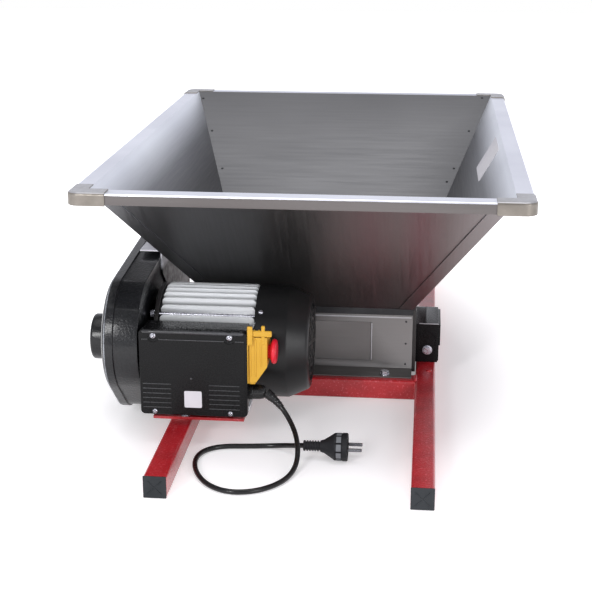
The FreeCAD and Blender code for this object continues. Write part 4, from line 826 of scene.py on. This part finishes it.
# casing of the belt and the gear
casing = {"circles": ((-336, 133, 81), (-137, 121.55, 105.5), (-101, 59.2, 57), (-294, 93, 79)),
          "parting": -267, "face": -276, "inset": 28, "lip": 2.0, "lipWidth": 1.6,
          "boss": (-294, 112), "collar": 44, "collarFace": -293.5, "bossRadius": 33,
          "bossFace": -312, "innerEdge": -257.5}


def casingRing(x, inset, count=168):
    ring = []
    for step in range(count):
        turn = 2 * math.pi * step / count
        y, z, radius = max(casing["circles"], key=lambda c: c[0] * math.cos(turn)
                           + c[1] * math.sin(turn) + c[2])
        reach = radius - inset
        ring.append(Vector((x, y + reach * math.cos(turn), z + reach * math.sin(turn))) * mm)
    return ring


def makeCasing():
    # lip along the parting line, pale as a painted highlight
    shape = bmesh.new()
    parting, face, lip = casing["parting"], casing["face"], casing["lip"]
    width = casing["lipWidth"]
    rings = [casingRing(parting + 0.2, 4), casingRing(parting + 0.2, -lip + 0.6),
             casingRing(parting - 0.5, -lip), casingRing(parting - width + 0.3, -lip),
             casingRing(parting - width - 0.3, -lip + 0.8), casingRing(parting - width - 0.3, 4)]
    addRings(shape, rings)
    finishPiece("casingLip", shape, "wornEdge", (), 60)
    shape = bmesh.new()
    rings = [casingRing(parting - width, 4), casingRing(parting - width - 0.2, 0.4)]
    depth = parting - width - face
    steps = 14
    for step in range(1, steps + 1):
        turn = math.pi / 2 * step / steps
        rings.append(casingRing(parting - width - depth * math.sin(turn),
                                0.4 + (casing["inset"] - 0.4) * (1 - math.cos(turn))))
    rings.append(casingRing(face, casing["inset"] + 8))
    addRings(shape, rings)
    outerFace = casing["bossFace"]
    collar = [(face + 8, 0.5), (face + 8, casing["collar"]),
              (casing["collarFace"], casing["collar"]),
              (casing["collarFace"], casing["bossRadius"] - 2)]
    addRings(shape, turnedRings(roundedProfile(collar, 3, 6), casing["boss"], 96))
    boss = [(face + 6, 0.5), (face + 6, casing["bossRadius"]), (outerFace, casing["bossRadius"]),
            (outerFace, 0.5)]
    addRings(shape, turnedRings(roundedProfile(boss, 4.5, 8), casing["boss"], 96))
    finishPiece("casingShell", shape, "hammered", ("casing_outer",), 45)
    reshaped("casing_inner", 0.9, "hammered",
             lambda spot: Vector((parting if spot.x < casing["innerEdge"] else spot.x,
                                  spot.y, spot.z)))


makeCasing()
print("casing made")


# motor: hood screws and earth lug
motor = {"axis": (-294, 114), "screwX": -62, "screwTurns": (48, 132, 223, 317), "hoodRadius": 80,
         "screwRadius": 3.6, "screwRise": 2.4, "lug": ((-213, -349, 158), (-205.5, -338, 172))}


def makeMotor():
    softEdged("motor_housing", 0.5, "finAluminiumShaded", 2, 50)
    softEdged("motor_shield_left", 1.2, "blackPaint", 3, 40)
    softEdged("fan_cover", 0.5, "coverPlastic", 2, 50)
    softEdged("tie_rods", 0.5, "zinc", 2, 50)
    shape = bmesh.new()  # screws that hold the hood of the fan
    for turn in motor["screwTurns"]:
        out = Vector((0, math.cos(math.radians(turn)), math.sin(math.radians(turn))))
        spot = Vector((motor["screwX"], *motor["axis"])) + out * motor["hoodRadius"]
        addDome(shape, spot, out, motor["screwRadius"], motor["screwRise"], 18)
    finishPiece("hoodScrews", shape, "zinc", (), 60)
    shape = bmesh.new()  # earth lug on the left end shield
    addBlock(shape, *motor["lug"])
    addBevel(finishPiece("earthLug", shape, "zinc"), 1)


makeMotor()
print("motor made")


# junction box in front of the motor
box = {"left": -219, "right": -71.5, "front": -422, "joint": -409, "low": 46, "lidTop": 168,
       "bodyTop": 163.5, "screwX": (-199, -95), "screwTop": 160, "screwLow": 51, "panelRise": 0.8,
       "bandLow": 154, "ribLow": 57, "ribHigh": 91, "ribs": 6,
       "ribGroups": ((-215, -176), (-124, -82)),
       "plateX": (-158, -134), "plateZ": (58, 82), "holeRadius": 7.6, "nubX": -148, "nubZ": 100}


def addPlateWithNotches(shape):  # the raised panel, scalloped round the four screws
    left, right, low, high = box["left"] + 3, box["right"] - 3, box["low"] + 3, box["bandLow"]
    outline = []

    def arc(x, z, radius, start, stop, steps=10):
        for step in range(steps + 1):
            turn = math.radians(start + (stop - start) * step / steps)
            outline.append((x + radius * math.cos(turn), z + radius * math.sin(turn)))

    reach, small = 9, 6.5
    dropTop = math.degrees(math.asin((box["screwTop"] - high) / reach))
    dropLow = math.degrees(math.asin((low - box["screwLow"]) / small))
    outline.append((left, low))
    arc(box["screwX"][0], box["screwLow"], small, 180 - dropLow, dropLow)
    arc(box["screwX"][1], box["screwLow"], small, 180 - dropLow, dropLow)
    outline.append((right, low))
    outline.append((right, high))
    arc(box["screwX"][1], box["screwTop"], reach, -dropTop, -180 + dropTop)
    arc(box["screwX"][0], box["screwTop"], reach, -dropTop, -180 + dropTop)
    outline.append((left, high))
    face = shape.faces.new([shape.verts.new(Vector((x, box["front"] + 0.8, z)) * mm)
                            for x, z in outline])
    thicken(shape, face, Vector((0, -box["panelRise"] * mm, 0)))


def addCross(shape, x, front, z, radius):
    for wide, tall in ((radius * 0.62, 0.7), (0.7, radius * 0.62)):
        addBlock(shape, (x - wide, front - 0.12, z - tall), (x + wide, front + 0.8, z + tall))


def roundCorners(shape, longer, radius, segments):  # of a plate that faces the front
    corners = [edge for edge in shape.edges
               if abs(edge.verts[0].co.y - edge.verts[1].co.y) > longer * mm]
    bmesh.ops.bevel(shape, geom=corners, offset=radius * mm, segments=segments, profile=0.5,
                    affect="EDGES")


def makeJunctionBox():
    shape = bmesh.new()
    left, right, front, high = box["left"], box["right"], box["front"], box["lidTop"]
    firstX, lastX = box["screwX"]
    hole = box["holeRadius"]
    screws = [(x, z, radius) for x in box["screwX"]
              for z, radius in ((box["screwTop"], 4.2), (box["screwLow"], 3.6))]
    addBlock(shape, (left, front + 0.7, box["low"]), (right, box["joint"], high))
    roundCorners(shape, 5, 6, 6)
    lid = finishPiece("boxLid", shape, "blackGloss", ("junction_box_lid",), 30)
    addBevel(lid, 1.4, 3)
    shape = bmesh.new()
    addPlateWithNotches(shape)
    addBevel(finishPiece("boxLidPanel", shape, "blackGloss", (), 30), 0.5, 3)
    # ribs, strip, band, screw rims and nub in the lighter black: painted highlights on the relief
    shape = bmesh.new()
    for first, last in box["ribGroups"]:
        for place in range(box["ribs"]):
            z = box["ribLow"] + (box["ribHigh"] - box["ribLow"]) * place / (box["ribs"] - 1)
            addBlock(shape, (first, front - 0.7, z - 0.6), (last, front + 0.5, z + 0.6))
    addBevel(finishPiece("boxLidRibs", shape, "wornBlack", (), 30), 0.45, 2)
    shape = bmesh.new()
    strip = [Vector((x, front + 1.4, high - 2.6)) * mm
             for x in (left + 4, left + 6, left + 20, -147, right - 20, right - 6, right - 4)]
    addTube(shape, strip, (0.6, 2.6, 2.6, 2.6, 2.6, 2.6, 0.6), 24)
    for first, last in ((left + 4, firstX - 7.4), (firstX + 7.4, lastX - 7.4),
                        (lastX + 7.4, right - 4)):
        addTube(shape, [Vector((x, front + 0.4, box["bandLow"] + 0.6)) * mm
                        for x in (first, (first + last) / 2, last)], (0.8, 0.8, 0.8))
    for x in box["screwX"]:
        addTube(shape, [Vector((x + hole * math.cos(math.radians(turn)), front + 0.4,
                                box["screwTop"] + hole * math.sin(math.radians(turn)))) * mm
                        for turn in range(-234, 55, 12)], [0.8] * 25)
    addDome(shape, (box["nubX"], front + 0.3, box["nubZ"]), (0, -1, 0), 1.8, 1.6)
    finishPiece("boxLidStrip", shape, "wornBlack", (), 60)
    shape = bmesh.new()
    for x, z, radius in screws:
        addDome(shape, (x, front + 0.6, z), (0, -1, 0), radius, 2.4, 24)
    finishPiece("lidScrewHeads", shape, "zinc", ("lid_screws",), 60)
    shape = bmesh.new()
    for x, z, radius in screws:
        addCross(shape, x, front - 1.55, z, radius)
    finishPiece("lidScrewSlots", shape, "blackGloss", (), 30)
    shape = bmesh.new()
    for x in box["screwX"]:
        profile = [(front + 1.5, 8.2), (front - 0.5, 8.2), (front - 0.5, 7), (front + 1.5, 7)]
        addRings(shape, turnedRings(profile, (x, box["screwTop"]), 40, "y"), False, False)
    finishPiece("boxLidRims", shape, "blackGloss", (), 40)
    shape = bmesh.new()
    addBlock(shape, (box["plateX"][0], front - 0.35, box["plateZ"][0]),
             (box["plateX"][1], front + 0.5, box["plateZ"][1]))
    roundCorners(shape, 0.2, 1.8, 5)
    finishPiece("boxLabel", shape, "label", (), 40)
    reshaped("junction_box_body", 1.2, "blackGloss",
             lambda spot: Vector((spot.x, spot.y, min(spot.z, box["bodyTop"]))))


makeJunctionBox()
print("junction box made")


# emergency switch
switch = {"y": -397.5, "stopZ": 134.6, "flapHalf": 19.6, "top": 160, "shoulder": 162,
          "aboveShoulder": 0.15, "slopeFrom": (-418, 150), "slope": 0.12,
          "ridges": ((-67.4, 104, 158), (-60.5, 104, 158), (-53, 118, 156)),
          # corners of blocks, y from the near cheek: peg and padlock bar, foot, lug of the base
          "lidBlocks": (((-52.8, -0.6, 150), (-47.6, 4, 176.5)),
                        ((-70.5, -1, 161), (-38.5, 3.4, 169.5)), ((-71, 2, 92), (-61, 7, 99))),
          "lug": ((-71.2, -4.3, 150), (-63.8, -1.2, 176.5))}


def drawnTo(low, foot):  # lid and base lowered a little, their lowest edge moved from low to foot
    def change(spot):
        height = spot.z
        if height <= switch["shoulder"]:
            height = foot + (height - low) * (switch["top"] - foot) / (switch["shoulder"] - low)
        else:
            height = switch["top"] + (height - switch["shoulder"]) * switch["aboveShoulder"]
        if height > switch["slopeFrom"][1]:
            height -= (spot.y - switch["slopeFrom"][0]) * switch["slope"]
        return Vector((spot.x, spot.y, height))
    return change


def makeSwitch():
    reshaped("switch_base", 1.0, "yellow", drawnTo(86, 95))
    reshaped("switch_flap", 1.2, "yellow", drawnTo(88, 96))
    shape = bmesh.new()  # ridges on both cheeks of the lid
    for side in (-1, 1):
        y = switch["y"] + side * switch["flapHalf"]
        for x, low, high in switch["ridges"]:
            addBlock(shape, (x - 1.2, y - 1.0, low), (x + 1.2, y + 1.0, high))
    addBevel(finishPiece("flapRidges", shape, "yellow", (), 30,
                         body="switch_lid"), 0.8, 3)
    cheek = Vector((0, switch["y"] - switch["flapHalf"], 0))
    shape = bmesh.new()
    for low, high in switch["lidBlocks"]:
        addBlock(shape, Vector(low) + cheek, Vector(high) + cheek)
    addBevel(finishPiece("flapPegs", shape, "yellow", (), 30,
                         body="switch_lid"), 1.9, 4)
    shape = bmesh.new()
    low, high = switch["lug"]
    addBlock(shape, Vector(low) + cheek, Vector(high) + cheek)
    addBevel(finishPiece("hingeLug", shape, "yellow", (), 30), 1.4, 4)
    shape = bmesh.new()
    profile = [(-51, 0.3), (-51, 9.2), (-46, 9.2), (-43.5, 9.6), (-41.2, 12.6), (-40, 16.2),
               (-38.2, 17.2), (-35.6, 16.8), (-33.7, 14.4), (-33.3, 9), (-33.4, 0.3)]
    centre = (switch["y"], switch["stopZ"])
    addRings(shape, turnedRings(roundedProfile(profile, 1.4, 4), centre, 64))
    finishPiece("stopKnob", shape, "red", ("stop_mushroom",), 50,
                body=bodyOf["stop_mushroom"])


makeSwitch()
print("switch made")


# gland, strain relief and plug on the lead
plug = {"y": -445, "z": 19, "start": 8, "end": 67, "radius": 19, "facets": 10}
gland = {"y": -395, "z": 74, "face": -75, "end": -50, "boot": 30}


def leadLine():  # points of the lead's own smooth line, in metres
    plain = leadPiece.data.copy()
    plain.bevel_depth = 0
    probe = bpy.data.objects.new("leadProbe", plain)
    mesh = bpy.data.meshes.new_from_object(probe)
    spots = [vert.co.copy() for vert in mesh.vertices]
    bpy.data.objects.remove(probe)
    bpy.data.curves.remove(plain)
    bpy.data.meshes.remove(mesh)
    return spots


def makeGland():
    shape = bmesh.new()
    face = gland["face"]
    profile = [(face - 0.5, 0.5), (face - 0.5, 11.4), (face + 7, 11.4), (face + 8, 10.4),
               (face + 17, 10.2), (face + 23, 9), (gland["end"], 6.4), (gland["end"], 0.5)]

    def sixSided(along, radius, turn):
        if radius < 11 or along > face + 7.2:
            return radius
        folded = (turn % (math.pi / 3)) - math.pi / 6
        return min(radius, 10.2 / math.cos(folded))

    addRings(shape, turnedRings(roundedProfile(profile, 0.8, 3), (gland["y"], gland["z"]), 72,
                                "x", sixSided))
    spots, travelled, kept, radii = leadLine(), 0.0, [], []
    for before, after in zip(spots, spots[1:]):
        kept.append(before)
        part = travelled / (gland["boot"] * mm)
        ripple = 0.55 if int(part * 12) % 2 == 0 else 0
        radii.append(7.4 - 3.2 * part - ripple)
        travelled += (after - before).length
        if travelled > gland["boot"] * mm:
            break
    addTube(shape, kept, radii, 24)
    finishPiece("glandAndRelief", shape, "rubber", ("cable_gland",), 35)


def makePlug():
    shape = bmesh.new()
    start, end, radius = plug["start"], plug["end"], plug["radius"]
    profile = [(start - 1, 0.4), (start - 1, 6.6)]
    for place in range(6):  # ribs of the relief
        along = start + place * 3.6
        profile += [(along, 7.3), (along + 1.7, 7.3), (along + 1.9, 5.7), (along + 3.4, 5.7)]
    profile += [(start + 22, 7.6), (start + 27, 9.2), (start + 37, 15.5),
                (start + 41, radius - 0.6), (start + 42.5, radius), (end - 8, radius),
                (end - 7.6, radius - 0.7), (end - 6.8, radius), (end - 1, radius),
                (end, radius - 1), (end, 14.6), (end - 2.5, 14), (end - 2.5, 0.4)]

    def grip(along, reach, turn):
        if start + 42 < along < end - 7.7:
            part = (turn * plug["facets"] / (2 * math.pi)) % 1
            near = min(part, 1 - part)
            return reach - (1.6 if near < 0.07 else 0.5)
        return reach

    addRings(shape, turnedRings(profile, (plug["y"], plug["z"]), 120, "x", grip))
    piece = finishPiece("mainsPlug", shape, "plugRubber", ("plug_body",), 30)
    shape = bmesh.new()  # lighter grip pads between the grooves
    for facet in range(plug["facets"]):
        middle = 2 * math.pi * (facet + 0.5) / plug["facets"]
        half = math.pi / plug["facets"] * 0.78
        turns = [middle - half + 2 * half * step / 6 for step in range(7)]
        grid = []
        for along, reach in ((43.5, radius - 0.9), (44.2, radius - 0.2), (50, radius - 0.2),
                             (50.7, radius - 0.9)):
            grid.append([shape.verts.new(Vector((start + along,
                                                 plug["y"] + reach * math.cos(turn),
                                                 plug["z"] + reach * math.sin(turn))) * mm)
                         for turn in turns])
        for first, second in zip(grid, grid[1:]):
            for place in range(6):
                shape.faces.new((first[place], first[place + 1], second[place + 1], second[place]))
    pads = finishPiece("plugGripPads", shape, "plugGrip", (), 40)
    pins = softEdged("plug_pins", 1.0, "nickel", 3)
    return [piece, pads, pins]


makeGland()
plugPieces = makePlug()
print("lead and plug made")


# blank plate inside the right wall
plate = {"y": (-50, 58), "z": (298, 349), "rise": 0.5, "corner": 4}


def makeWallPlate():
    shape = bmesh.new()
    verts = []
    for z, order in zip(plate["z"], (plate["y"], plate["y"][::-1])):
        for y in order:
            reach = hopper["throatX"] + hopper["flare"] * (z - hopper["throatZ"]) / hopper["rise"]
            spot, normal = wallSpot("hopper_right",
                                    (0, y, z + reach * hopper["flare"] / hopper["rise"]),
                                    (hopper["rise"], 0, -hopper["flare"]))
            verts.append(shape.verts.new((spot + normal * 0.1) * mm))
    thicken(shape, shape.faces.new(verts), normal * plate["rise"] * mm)
    corners = [edge for edge in shape.edges if edge.calc_length() < 1 * mm]
    bmesh.ops.bevel(shape, geom=corners, offset=plate["corner"] * mm, segments=5, profile=0.5,
                    affect="EDGES")
    finishPiece("wallPlate", shape, "label", (), 40)


makeWallPlate()
print("plates made")
